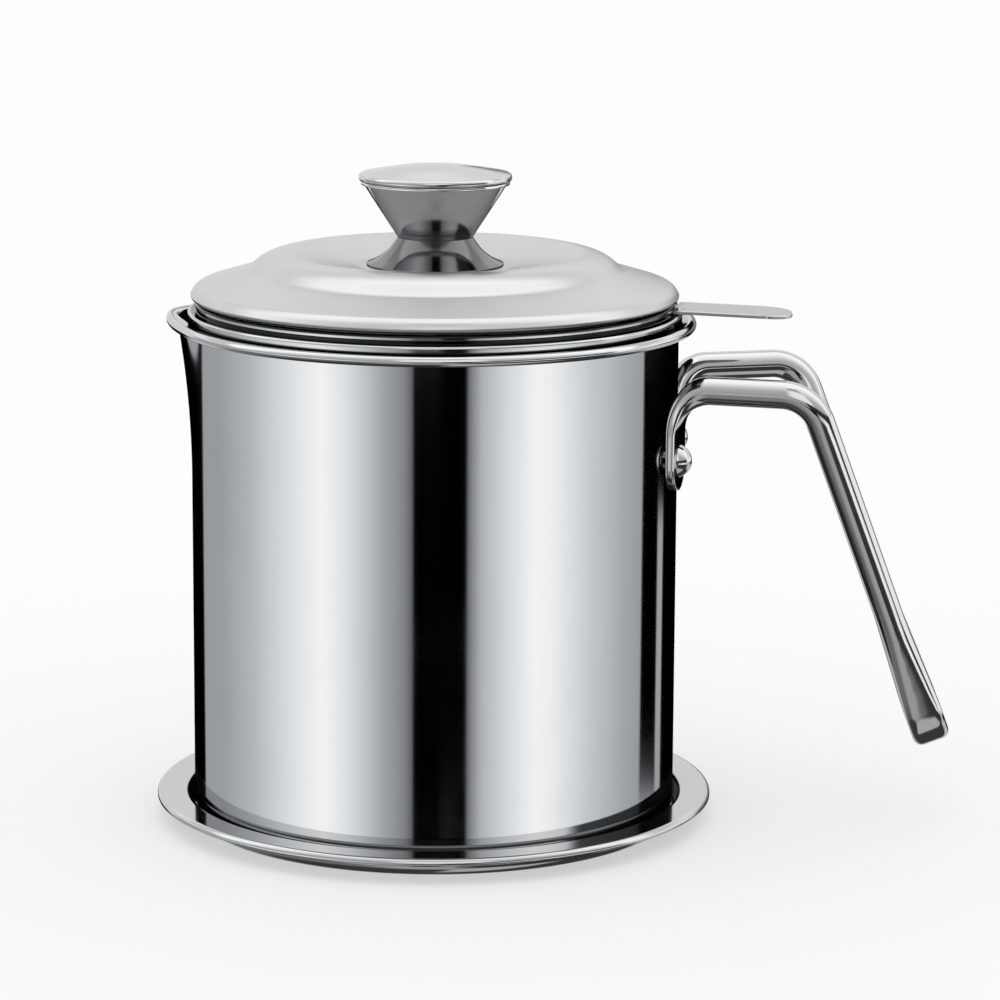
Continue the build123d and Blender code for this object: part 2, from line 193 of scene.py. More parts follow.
class LidSizes(bpy.types.PropertyGroup):
    """Lid shell and its locating skirt"""

    radius: size("Outer radius of the rolled edge", 0.0600)
    sheet: size("Thickness of the lid", 0.0007)
    edge: size("Height of the rolled edge's underside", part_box("lid_shell")[0].z)
    bead: size("Diameter of the rolled edge", 0.0025)
    edge_rise: size("From the edge's underside up to the brim's corner", 0.0032)
    edge_width: size("From the outer edge in to the brim's corner", 0.0011)
    edge_corner: size("Rounding of the brim's corner", 0.0030)
    brim_width: size("From the outer edge in to the crease", 0.0137)
    brim_rise: size("Rise of the brim", 0.0038)
    crease_corner: size("Rounding of the crease", 0.0040)
    shoulder_width: size("From the crease in to the crest", 0.0058)
    crest_rise: size("Rise from the crease to the crest", 0.0052)
    crest_corner: size("Rounding of the crest", 0.0100)
    seat_drop: size("Depth of the dished middle", 0.0040)
    seat_radius: size("Radius of the knob's flat seat", 0.0190)
    seat_corner: size("Rounding at the edge of the seat", 0.0060)
    hole: size("Diameter of the screw's hole", 0.0054)
    skirt_radius: size("Outside radius of the locating skirt", 0.0574)
    skirt_bottom: size("Height of the skirt's lower edge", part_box("lid_skirt")[0].z)
    skirt_flange: size("Width of the flange under the brim", 0.0055)
    skirt_gap: size("Room between the skirt's flange and the brim", 0.0001)
    skirt_corner: size("Rounding of the skirt's bend", 0.0012)


class KnobSizes(bpy.types.PropertyGroup):
    """Waisted knob and its fastening"""

    base_radius: size("Radius of the flared foot", 0.0168)
    foot_rim: size("Height of the foot's upright edge", 0.0004)
    flare_in: size("Where the flare bends, in from the foot's edge", 0.0046)
    flare_rise: size("Height of that bend above the upright edge", 0.0021)
    flare_corner: size("Rounding of the flare", 0.0100)
    waist_radius: size("Radius of the knob's waist", 0.00925)
    waist_height: size("Height of the waist above the lid", 0.0069)
    base_sheet: size("Thickness of the flared foot", 0.0005)
    sheet: size("Thickness of the cone and the cap", 0.0008)
    cup_radius: size("Radius at the top of the cone", 0.0176)
    cup_height: size("From the waist to the cap", 0.0139)
    cup_flange: size("Width of the cone's top flange", 0.0014)
    cap_radius: size("Radius of the domed cap", 0.0188)
    cap_edge: size("Height of the cap's edge", 0.0016)
    cap_crown: size("Height of the cap's dome above its edge", 0.0023)
    cap_flat: size("Radius of the dome's level middle", 0.0060)
    cap_bow: size("Rounding of the dome", 0.0600)
    cap_corner: size("Rounding of the cap's edge", 0.0008)
    cap_lip_corner: size("Rounding where the edge is rolled under", 0.0006)
    seam: size("Room between the cup and the cap", 0.0001)
    screw: size("Diameter of the screw", 0.0048)
    screw_head: size("Diameter of the screw's head", 0.0090)
    screw_head_height: size("Height of the screw's head", 0.0026)
    screw_head_corner: size("Rounding of the screw's head", 0.0012)
    recess_width: size("Width of the cross recess", 0.0011)
    recess_length: size("Length of the cross recess", 0.0048)
    recess_depth: size("Depth of the cross recess", 0.0014)
    washer: size("Diameter of the washer", 0.0120)
    washer_sheet: size("Thickness of the washer", 0.0010)
    nut_flats: size("Width of the nut across its flats", 0.0080)
    nut_height: size("Height of the nut", 0.0040)
    chamfer: size("Small rounding on the fasteners' edges", 0.0002)


class FinishSettings(bpy.types.PropertyGroup):
    """Colours and polish of the steels"""

    polished: tint("Colour of the mirror polished steel", (0.72, 0.72, 0.725))
    satin: tint("Colour of the soft polished steel", (0.72, 0.72, 0.722))
    tray: tint("Colour of the tray's steel", (0.68, 0.68, 0.683))
    wire: tint("Colour of the woven wire", (0.56, 0.56, 0.57))
    zinc: tint("Colour of the hidden fasteners", (0.62, 0.63, 0.64))
    # Painted light: the cone's steel is a lighter copy of the polished steel
    cone: tint("Colour of the knob's cone", (0.88, 0.88, 0.885))
    # Painted shade: the knob's foot is a much darker copy of the polished steel, for the shade under the
    # overhanging cone
    foot: tint("Colour of the knob's foot", (0.20, 0.20, 0.203))
    # Painted shade: the near-black colour that the gaps and seams between parts are given
    seam: tint("Colour of the oil film in the seams", (0.03, 0.03, 0.03))
    heat: tint("Colour of the steel beside a weld", (0.62, 0.52, 0.40))
    mirror: share("Roughness of the mirror polish", 0.055)
    soft: share("Roughness of the soft polish", 0.31)
    drawn: share("Roughness of the unpolished insides", 0.26)
    dull: share("Roughness of the wires and the fasteners", 0.30)


class StageSettings(bpy.types.PropertyGroup):
    """Camera, floor and studio light"""

    camera_turn: turn("How far the camera stands round towards the handle", 1.7)
    camera_distance: size("Distance of the camera in front of the jug's axis", 0.9861)
    camera_height: size("Height of the camera above the floor", 0.2738)
    camera_pitch: turn("How far the camera looks down", 11.1753)
    camera_yaw: turn("How far the camera looks to the right", 0.9428)
    camera_roll: turn("Turn of the camera about its own line of sight", 0.3121)
    lens: FloatProperty(description="Focal length in millimetres", default=145.68)
    floor_radius: size("Radius of the floor", 8.0)
    floor_gap: size("Room between the tray and the floor", 0.0001)
    floor_colour: tint("Colour of the floor", (0.985, 0.985, 0.982))
    floor_glow: share("How far the floor is plain white to the camera", 0.5)
    bounce_share: share("Light from above and below kept from one mirroring piece to the next", 0.27)
    level_share: share("Level light kept from one mirroring piece to the next", 0.90)
    gap_shift: turn("How far the dark gap lies to the right", 3.0)


GROUPS = (
    ("tray", TraySizes),
    ("jug", JugSizes),
    ("handle", HandleSizes),
    ("strainer", StrainerSizes),
    ("lid", LidSizes),
    ("knob", KnobSizes),
    ("finish", FinishSettings),
    ("stage", StageSettings),
)


class JugSettings(bpy.types.PropertyGroup):
    """Everything that a user would change on the jug"""

    __annotations__ = {name: PointerProperty(type=group) for name, group in GROUPS}


# Shader expressions


def opaque(colour, shade=1.0):
    """A property's colour as four numbers, made lighter or darker."""
    return (colour[0] * shade, colour[1] * shade, colour[2] * shade, 1.0)


def grey(level):
    return (level, level, level, 1.0)


class Shade:
    """One output of a shader node; sums of them are written as Python expressions."""

    def __init__(self, tree, socket=None):
        self.tree = tree
        self.socket = socket

    def node(self, kind, settings=None, sockets=None, output=0):
        """Adds a node: its settings first, then the values or links of its sockets."""
        made = self.tree.nodes.new(kind)
        for name, value in (settings or {}).items():
            setattr(made, name, value)
        for name, value in (sockets or {}).items():
            if isinstance(value, Shade):
                self.tree.links.new(value.socket, made.inputs[name])
            else:
                made.inputs[name].default_value = value
        return Shade(self.tree, made.outputs[output]) if len(made.outputs) else None

    def math(self, operation, *values):
        return self.node("ShaderNodeMath", {"operation": operation}, dict(enumerate(values)))

    def __add__(self, other):
        return self.math("ADD", self, other)

    def __radd__(self, other):
        return self.math("ADD", other, self)

    def __sub__(self, other):
        return self.math("SUBTRACT", self, other)

    def __rsub__(self, other):
        return self.math("SUBTRACT", other, self)

    def __mul__(self, other):
        return self.math("MULTIPLY", self, other)

    def __rmul__(self, other):
        return self.math("MULTIPLY", other, self)

    def __truediv__(self, other):
        return self.math("DIVIDE", self, other)

    def parts(self):
        """The three numbers of a vector."""
        split = self.node("ShaderNodeSeparateXYZ", sockets={"Vector": self})
        return [Shade(self.tree, socket) for socket in split.socket.node.outputs]

    def polar(self):
        """Distance of a place from the axis, and its height."""
        x, y, z = self.parts()
        return self.math("SQRT", x * x + y * y), z

    def step(self, low, high):
        """Smoothly from nothing at low to one at high."""
        ends = {"Value": self, "From Min": low, "From Max": high}
        return self.node("ShaderNodeMapRange", {"interpolation_type": "SMOOTHSTEP"}, ends)

    def band(self, at, rise, fall):
        """One between two soft edges, which are given as distances from a place."""
        return self.step(at + rise[0], at + rise[1]) * (1.0 - self.step(at + fall[0], at + fall[1]))

    def blend(self, low, high, kind="MIX"):
        """A colour made of two, with this as the share of the second."""
        settings = {"data_type": "RGBA", "blend_type": kind}
        return self.node("ShaderNodeMix", settings, {"Factor": self, "A": low, "B": high}, "Result")

    def ramp(self, stops):
        """A grey that runs through stops of position and level."""
        made = self.node("ShaderNodeValToRGB", sockets={"Fac": self})
        elements = made.socket.node.color_ramp.elements
        while len(elements) < len(stops):
            elements.new(1.0)
        for element, (position, level) in zip(elements, stops):
            element.position = position
            element.color = grey(level)
        return made

    def noise(self, scale=1.0, detail=3.0, roughness=0.6, distortion=0.0):
        """Cloudy noise at this place."""
        sockets = {"Scale": scale, "Detail": detail, "Roughness": roughness, "Distortion": distortion}
        return self.node("ShaderNodeTexNoise", sockets={"Vector": self, **sockets})

    def stretched(self, scale, rotation=(0.0, 0.0, 0.0)):
        sockets = {"Vector": self, "Rotation": rotation, "Scale": scale}
        return self.node("ShaderNodeMapping", sockets=sockets)


def empty_tree(owner):
    """Clears the node tree of a material or a world, ready for shader expressions."""
    owner.use_nodes = True
    owner.node_tree.nodes.clear()
    return Shade(owner.node_tree)


# Steel finishes


def turned_lines(pitch, drift):
    """Fine lines left by turning: quick across radius and height, slow round the axis."""

    def lines(place):
        x, y, z = place.parts()
        radius = place.math("SQRT", x * x + y * y)
        grain = {"X": radius / pitch + x * drift, "Y": z / pitch + y * drift, "Z": z * drift}
        return place.node("ShaderNodeCombineXYZ", sockets=grain).noise()

    return lines


def straight_lines(stretch):
    """Fine lines left by a belt, drawn out along one way of the piece."""
    return lambda place: place.stretched(stretch).noise()


ROUND_GRAIN = turned_lines(pitch=0.00022, drift=30.0)
COARSE_GRAIN = turned_lines(pitch=0.00034, drift=60.0)
LENGTH_GRAIN = straight_lines((60.0, 2600.0, 2600.0))
BAR_GRAIN = straight_lines((900.0, 1800.0, 260.0))

# Colour, polish, how many times as rough as that polish, lines, and their depth in microns
STEELS = {
    "tray_steel": ("tray", "mirror", 1.8, ROUND_GRAIN, 4),
    "jug_steel": ("polished", "mirror", 1.0, ROUND_GRAIN, 2),
    "handle_steel": ("polished", "mirror", 1.6, BAR_GRAIN, 3),
    "rim_steel": ("polished", "mirror", 1.8, ROUND_GRAIN, 4),
    "collar_steel": ("polished", "mirror", 1.8, ROUND_GRAIN, 4),
    "lid_steel": ("satin", "soft", 1.0, COARSE_GRAIN, 5),
    "skirt_steel": ("satin", "soft", 1.0, ROUND_GRAIN, 3),
    # Painted light: a lighter steel on the knob's cone
    "cone_steel": ("cone", "mirror", 2.0, ROUND_GRAIN, 2),
    # Painted shade: a dark steel on the knob's foot, under the overhanging cone
    "foot_steel": ("foot", "mirror", 2.0, ROUND_GRAIN, 2),
    "cap_steel": ("polished", "mirror", 2.4, ROUND_GRAIN, 3),
    "tab_steel": ("satin", "soft", 1.0, LENGTH_GRAIN, 4),
    "wire_steel": ("wire", "dull", 1.0, BAR_GRAIN, 2),
    "fastener_steel": ("zinc", "dull", 1.0, ROUND_GRAIN, 4),
}
MICRON = 1e-6
SMUDGE_SCALE, SMUDGE_EDGE = 28.0, (0.42, 0.72)
SCRATCH_STRETCH, SCRATCH_TURN, SCRATCH_EDGE = (2600.0, 90.0, 900.0), (0.4, 0.7, 0.3), (0.70, 0.78)
# How far lines, smudges and scratches change the roughness and the tone
LINE_ROUGH, SMUDGE_ROUGH, SCRATCH_ROUGH = 0.5, 0.018, 0.05
LINE_TONE, SMUDGE_TONE, SCRATCH_TONE = 0.10, 0.25, 0.20
DULL_TONE = 0.90
LINE_RELIEF = 0.25
LEAST_ROUGHNESS = 0.02


def steel(name, finish, wear=None, tinted=None):
    """A steel of the table, with smudges and scratches.

    wear adds roughness at rubbed places, and tinted changes the colour.
    """
    if name in bpy.data.materials:
        return bpy.data.materials[name]
    colour, polish, times, lines, depth = STEELS[name]
    colour, roughness = getattr(finish, colour), getattr(finish, polish) * times
    material = bpy.data.materials.new(name)
    base = empty_tree(material)
    place = base.node("ShaderNodeTexCoord", output="Object")
    grain = lines(place)
    smudge = place.noise(SMUDGE_SCALE, detail=4.0, roughness=0.55, distortion=0.6).step(*SMUDGE_EDGE)
    streaks = place.stretched(SCRATCH_STRETCH, SCRATCH_TURN).noise(detail=2.0, roughness=0.5)
    scratch = streaks.step(*SCRATCH_EDGE)
    rough = roughness + (grain - 0.5) * (LINE_ROUGH * roughness)
    rough = rough + smudge * SMUDGE_ROUGH + scratch * SCRATCH_ROUGH
    if wear:
        rough = rough + wear(place)
    tone = (grain - 0.5) * LINE_TONE + smudge * SMUDGE_TONE + scratch * SCRATCH_TONE
    shade = tone.blend(opaque(colour), opaque(colour, DULL_TONE))
    if tinted:
        shade = tinted(place, shade)
    relief = {"Strength": LINE_RELIEF, "Distance": depth * MICRON, "Height": grain}
    sockets = {
        "Base Color": shade,
        "Metallic": 1.0,
        "Roughness": base.math("MAXIMUM", rough, LEAST_ROUGHNESS),
        "Normal": base.node("ShaderNodeBump", sockets=relief),
    }
    surface = base.node("ShaderNodeBsdfPrincipled", sockets=sockets)
    base.node("ShaderNodeOutputMaterial", sockets={"Surface": surface})
    return material


def tray_finish(settings):
    """Rubbed along the flange's edge and under the well."""
    edge, width = settings.tray.flange_radius, 0.0016
    edge_wear, base_wear = 0.05, 0.12

    def wear(place):
        radius, z = place.polar()
        return radius.step(edge - width, edge) * edge_wear + (1.0 - z.step(0.0, width)) * base_wear

    return steel("tray_steel", settings.finish, wear)


def jug_finish(settings):
    """Drawn satin inside, rubbed at the foot, and darker at the foot with painted shade where it stands in
    the tray's well.
    """
    jug, finish = settings.jug, settings.finish
    middle, soft = jug.radius - jug.wall * 0.5, jug.wall * 0.2
    bottom_sheet = (0.0012, 0.0015)
    worn_foot = (jug.bottom + 0.0004, jug.bottom + 0.0030)
    painted_foot_shade = (jug.bottom + jug.corner, jug.bottom + jug.corner + 0.0012)
    foot_wear, painted_foot_level = 0.06, 0.55

    def wear(place):
        radius, z = place.polar()
        inside = (1.0 - radius.step(middle - soft, middle + soft)) * z.step(*bottom_sheet)
        foot = 1.0 - z.step(*worn_foot)
        return inside * (finish.drawn - finish.mirror) + foot * foot_wear

    # Painted shade: the foot is darkened up to just above its rounded corner, where it stands down in the
    # tray's well
    def tinted(place, shade):
        _, z = place.polar()
        foot = 1.0 - z.step(*painted_foot_shade)
        return foot.blend(shade, opaque(finish.polished, painted_foot_level))

    return steel("jug_steel", finish, wear, tinted)


def collar_finish(settings):
    """Painted shade in the seams above and below the rim, in the dark seam colour."""
    strainer, jug, finish = settings.strainer, settings.jug, settings.finish
    seat = jug.top - jug.lip_step
    rim_top = seat + strainer.rim_height
    hem_foot = strainer.top - strainer.hem

    # Painted shade: the seam colour on the collar's wall between the rim and the hem, and round the rim's
    # seat on the lip
    def tinted(place, shade):
        radius, z = place.polar()
        wall = radius.band(strainer.outer, rise=(-0.0005, -0.0003), fall=(0.0012, 0.0018))
        hem = z.band(hem_foot, rise=(-0.0001, 0.0001), fall=(0.0005, 0.0008))
        over = z.step(rim_top - 0.0003, rim_top) * wall * (1.0 - hem)
        under = z.band(seat, rise=(-0.0009, -0.0006), fall=(0.0004, 0.0009))
        return place.math("MAXIMUM", over, under).blend(shade, opaque(finish.seam))

    return steel("collar_steel", finish, None, tinted)


def lid_finish(settings):
    """A little duller round the knob's foot, with painted shade under the rolled edge."""
    lid, finish = settings.lid, settings.finish
    foot_wear = 0.05
    painted_shade = (lid.edge + 0.0001, lid.edge + 0.0004)

    def wear(place):
        radius, _ = place.polar()
        return (1.0 - radius.step(settings.knob.base_radius, lid.seat_radius)) * foot_wear

    # Painted shade: everything below the rolled edge's underside takes the dark seam colour
    def tinted(place, shade):
        _, z = place.polar()
        under = 1.0 - z.step(*painted_shade)
        return under.blend(shade, opaque(finish.seam))

    return steel("lid_steel", finish, wear, tinted)


def tab_finish(settings):
    """Heat tint of the welds at the tab's root."""
    strainer, finish = settings.strainer, settings.finish

    def tinted(place, shade):
        x, y, _ = place.parts()
        off_x = x - weld_inset(strainer)
        off_y = place.math("ABSOLUTE", y) - strainer.weld_spacing / 2
        away = place.math("SQRT", off_x * off_x + off_y * off_y)
        ring = away.band(0.0, rise=(0.0006, 0.0012), fall=(0.0012, 0.0026))
        return ring.blend(shade, opaque(finish.heat))

    return steel("tab_steel", finish, None, tinted)


# Mesh makers


def mix(first, second, part):
    return first + (second - first) * part


def verts_in(items):
    """The vertices among the items that a mesh operator returns."""
    return [item for item in items if isinstance(item, bmesh.types.BMVert)]


def everything(bm):
    return bm.verts[:] + bm.edges[:] + bm.faces[:]


def bevel_verts(bm, verts, offset, segments):
    """Rounds corners of a wire or of a flat face; returns the vertices made."""
    made = bmesh.ops.bevel(
        bm,
        geom=verts,
        affect="VERTICES",
        offset=offset,
        offset_type="OFFSET",
        segments=segments,
        profile=0.5,
        material=-1,
    )
    return made["verts"]


def round_corner(bm, vert, radius):
    """Replaces a corner of a wire outline by an arc of that radius."""
    before, after = (edge.other_vert(vert).co - vert.co for edge in vert.link_edges)
    bend = math.pi - before.angle(after)
    segments = max(LEAST_ARC_STEPS, math.ceil(bend / ARC_STEP))
    bevel_verts(bm, [vert], radius * math.tan(bend / 2), segments)


def outline(bm, corners, closed=False):
    """A wire through corners given as radius, height and rounding; returns its last vertex."""
    verts = [bm.verts.new((radius, 0.0, height)) for radius, height, _ in corners]
    following = verts[1:] + verts[:1] if closed else verts[1:]
    for vert, after in zip(verts, following):
        bm.edges.new((vert, after))
    for vert, (_, _, rounding) in zip(verts, corners):
        if rounding:
            round_corner(bm, vert, rounding)
    end = Vector((corners[-1][0], 0.0, corners[-1][1]))
    return min(bm.verts, key=lambda vert: (vert.co - end).length)


def curl(bm, vert, radius, height, angle):
    """Carries a wire on from its end vertex round a centre, outwards over the top."""
    made = bmesh.ops.spin(
        bm,
        geom=[vert],
        cent=(radius, 0.0, height),
        axis=(0.0, 1.0, 0.0),
        angle=angle,
        steps=math.ceil(abs(angle) / ARC_STEP),
    )
    return verts_in(made["geom_last"])[0]


def turned(bm, upward=0, steps=ROUND_STEPS):
    """Turns the wire about the axis; upward says which way its innermost face looks."""
    bmesh.ops.spin(
        bm,
        geom=bm.verts[:] + bm.edges[:],
        cent=(0.0, 0.0, 0.0),
        axis=AXIS_UP,
        angle=math.tau,
        steps=steps,
        use_merge=True,
    )
    bmesh.ops.remove_doubles(bm, verts=bm.verts[:], dist=MERGE_DISTANCE)
    bmesh.ops.recalc_face_normals(bm, faces=bm.faces[:])
    inmost = min(bm.faces, key=lambda face: face.calc_center_median().xy.length)
    if inmost.normal.z * upward < 0:
        bmesh.ops.reverse_faces(bm, faces=bm.faces[:])


def lathe(*corners, closed=False, upward=0, steps=ROUND_STEPS):
    """A mesh turned from an outline."""
    bm = bmesh.new()
    outline(bm, corners, closed)
    turned(bm, upward, steps)
    return bm


def flat_ring(inner, outer, bottom, top, corner, top_corner=None, steps=ROUND_STEPS):
    """A ring of rectangular section with rounded edges."""
    return lathe(
        (inner, bottom, corner),
        (outer, bottom, corner),
        (outer, top, top_corner or corner),
        (inner, top, corner),
        closed=True,
        steps=steps,
    )


def dome(bm, radius, height, base):
    """Wire of a shallow dome from its top on the axis out to its foot; returns the foot's vertex."""
    bow = (radius**2 + height**2) / (2 * height)
    top = bm.verts.new((0.0, 0.0, base + height))
    return curl(bm, top, 0.0, base + height - bow, math.asin(radius / bow))


def piece(name, bm, material, node):
    """Makes the object of a finished mesh; it stands for that node and rides on the node's body."""
    mesh = bpy.data.meshes.new(name)
    bm.to_mesh(mesh)
    bm.free()
    return mesh_piece(name, mesh, material, node)


def mesh_piece(name, mesh, material, node):
    mesh.shade_smooth()
    mesh.set_sharp_from_angle(angle=SHARP_ANGLE)
    mesh.materials.append(material)
    made = bpy.data.objects.new(name, mesh)
    bpy.context.scene.collection.objects.link(made)
    record = frame["record"]
    bodies = record["behaviour"]["bodies"]
    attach(made, next(body for body, nodes in bodies.items() if node in nodes))
    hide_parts(node)
    return made


def thicken(made, thickness):
    """Gives a sheet its thickness behind the drawn side, and rounds its cut edges."""
    solid = made.modifiers.new("sheet", "SOLIDIFY")
    solid.thickness = thickness
    solid.offset = -1.0
    solid.use_even_offset = True
    soften(made, SHEET_EDGE)


def soften(made, edge):
    """Rounds sharp edges a little and keeps broad faces true."""
    bevel = made.modifiers.new("edges", "BEVEL")
    bevel.width = edge
    bevel.segments = 2
    bevel.limit_method = "ANGLE"
    bevel.angle_limit = EDGE_ANGLE
    weigh_normals(made)


def weigh_normals(made):
    made.modifiers.new("normals", "WEIGHTED_NORMAL").keep_sharp = True


# Pieces


class PieceOperator:
    """What all the piece operators share."""

    bl_options = {"REGISTER", "UNDO"}

    def execute(self, context):
        self.make(context.scene.oil_jug)
        return {"FINISHED"}


class OILJUG_OT_tray(PieceOperator, bpy.types.Operator):
    """Pressed drip tray with a shallow well and a hemmed flange"""

    bl_idname = "oil_jug.tray"
    bl_label = "Drip tray"

    def make(self, settings):
        tray = settings.tray
        well = settings.jug.radius + tray.well_gap
        bm = lathe(
            (0.0, tray.sheet, 0.0),
            (well, tray.sheet, tray.well_corner),
            (well, tray.height, tray.neck_corner),
            (tray.flange_radius, tray.height, tray.hem_corner),
            (tray.flange_radius, tray.height - tray.hem_drop, 0.0),
            upward=1,
        )
        thicken(piece("drip_tray", bm, tray_finish(settings), "tray"), tray.sheet)


def swell(value, half_turn):
    """One in the middle of the spout, falling smoothly to nothing at its edges."""
    if abs(value) >= half_turn:
        return 0.0
    return math.cos(value / half_turn * math.pi / 2) ** 2


def clamped(value):
    return min(max(value, 0.0), 1.0)


class OILJUG_OT_jug(PieceOperator, bpy.types.Operator):
    """Deep drawn jug with a dished bottom, a rolled lip and a pulled pouring spout"""

    bl_idname = "oil_jug.jug"
    bl_label = "Jug body"

    lip_curl = math.radians(292)
    round_steps = 288
    # Where the wall beside the spout is divided, down from the lip, and the cuts in each length
    wall_shares = (1.0, 0.6, 0.3)
    wall_cuts = 5
    lip_power = 0.75
    tip_power = 6

    def make(self, settings):
        jug = settings.jug
        bore = jug.radius - jug.wall
        floor = jug.bottom + jug.wall
        seat = jug.top - jug.lip_step
        bead = jug.lip_bead / 2
        bead_radius = jug.radius + jug.lip_reach - bead
        bead_height = jug.top - bead
        meet = math.sqrt(bead**2 - (seat - bead_height) ** 2)
        corners = [
            (0.0, floor + jug.dish_rise, 0.0),
            (jug.dish_radius - 2 * jug.dish_rise, floor + jug.dish_rise, jug.dish_corner),
            (jug.dish_radius, floor, jug.dish_corner),
            (bore, floor, jug.corner),
            *((bore, seat - jug.spout_height * part, 0.0) for part in self.wall_shares),
            (bore, seat, jug.lip_corner),
            (bead_radius - meet, seat, 0.0),
        ]
        bm = bmesh.new()
        last = outline(bm, corners)
        curl(bm, last, bead_radius, bead_height, self.lip_curl)
        edges = self.spout_edges(bm, bore, seat - jug.spout_height)
        bmesh.ops.subdivide_edges(bm, edges=edges, cuts=self.wall_cuts)
        turned(bm, upward=1, steps=self.round_steps)
        self.pull_spout(bm, jug, bead_radius)
        thicken(piece("jug_shell", bm, jug_finish(settings), "jug_body"), jug.wall)

    def spout_edges(self, bm, bore, foot):
        """The wall's straight edges above the spout's foot."""
        found = []
        for edge in bm.edges:
            ends = [vert.co for vert in edge.verts]
            level = min(end.z for end in ends)
            if level > foot - MERGE_DISTANCE and all(abs(end.x - bore) < MERGE_DISTANCE for end in ends):
                found.append(edge)
        return found

    def pull_spout(self, bm, jug, bead_radius):
        """Draws wall and lip out to the spout, opposite the handle, and lifts its tip."""
        foot = jug.top - jug.lip_step - jug.spout_height
        for vert in bm.verts:
            climb = clamped((vert.co.z - foot) / jug.spout_height)
            if climb == 0.0:
                continue
            away = vert.co.xy
            side = math.atan2(away.y, -away.x)
            lip = clamped((away.length - jug.radius) / (bead_radius - jug.radius))
            wall_pull = jug.spout_reach * climb * climb * swell(side, jug.spout_turn)
            lip_pull = jug.spout_lip_reach * swell(side, jug.spout_lip_turn) ** self.lip_power
            vert.co.xy += away.normalized() * mix(wall_pull, lip_pull, lip)
            vert.co.z += jug.spout_raise * climb**self.tip_power * swell(side, jug.spout_lip_turn)


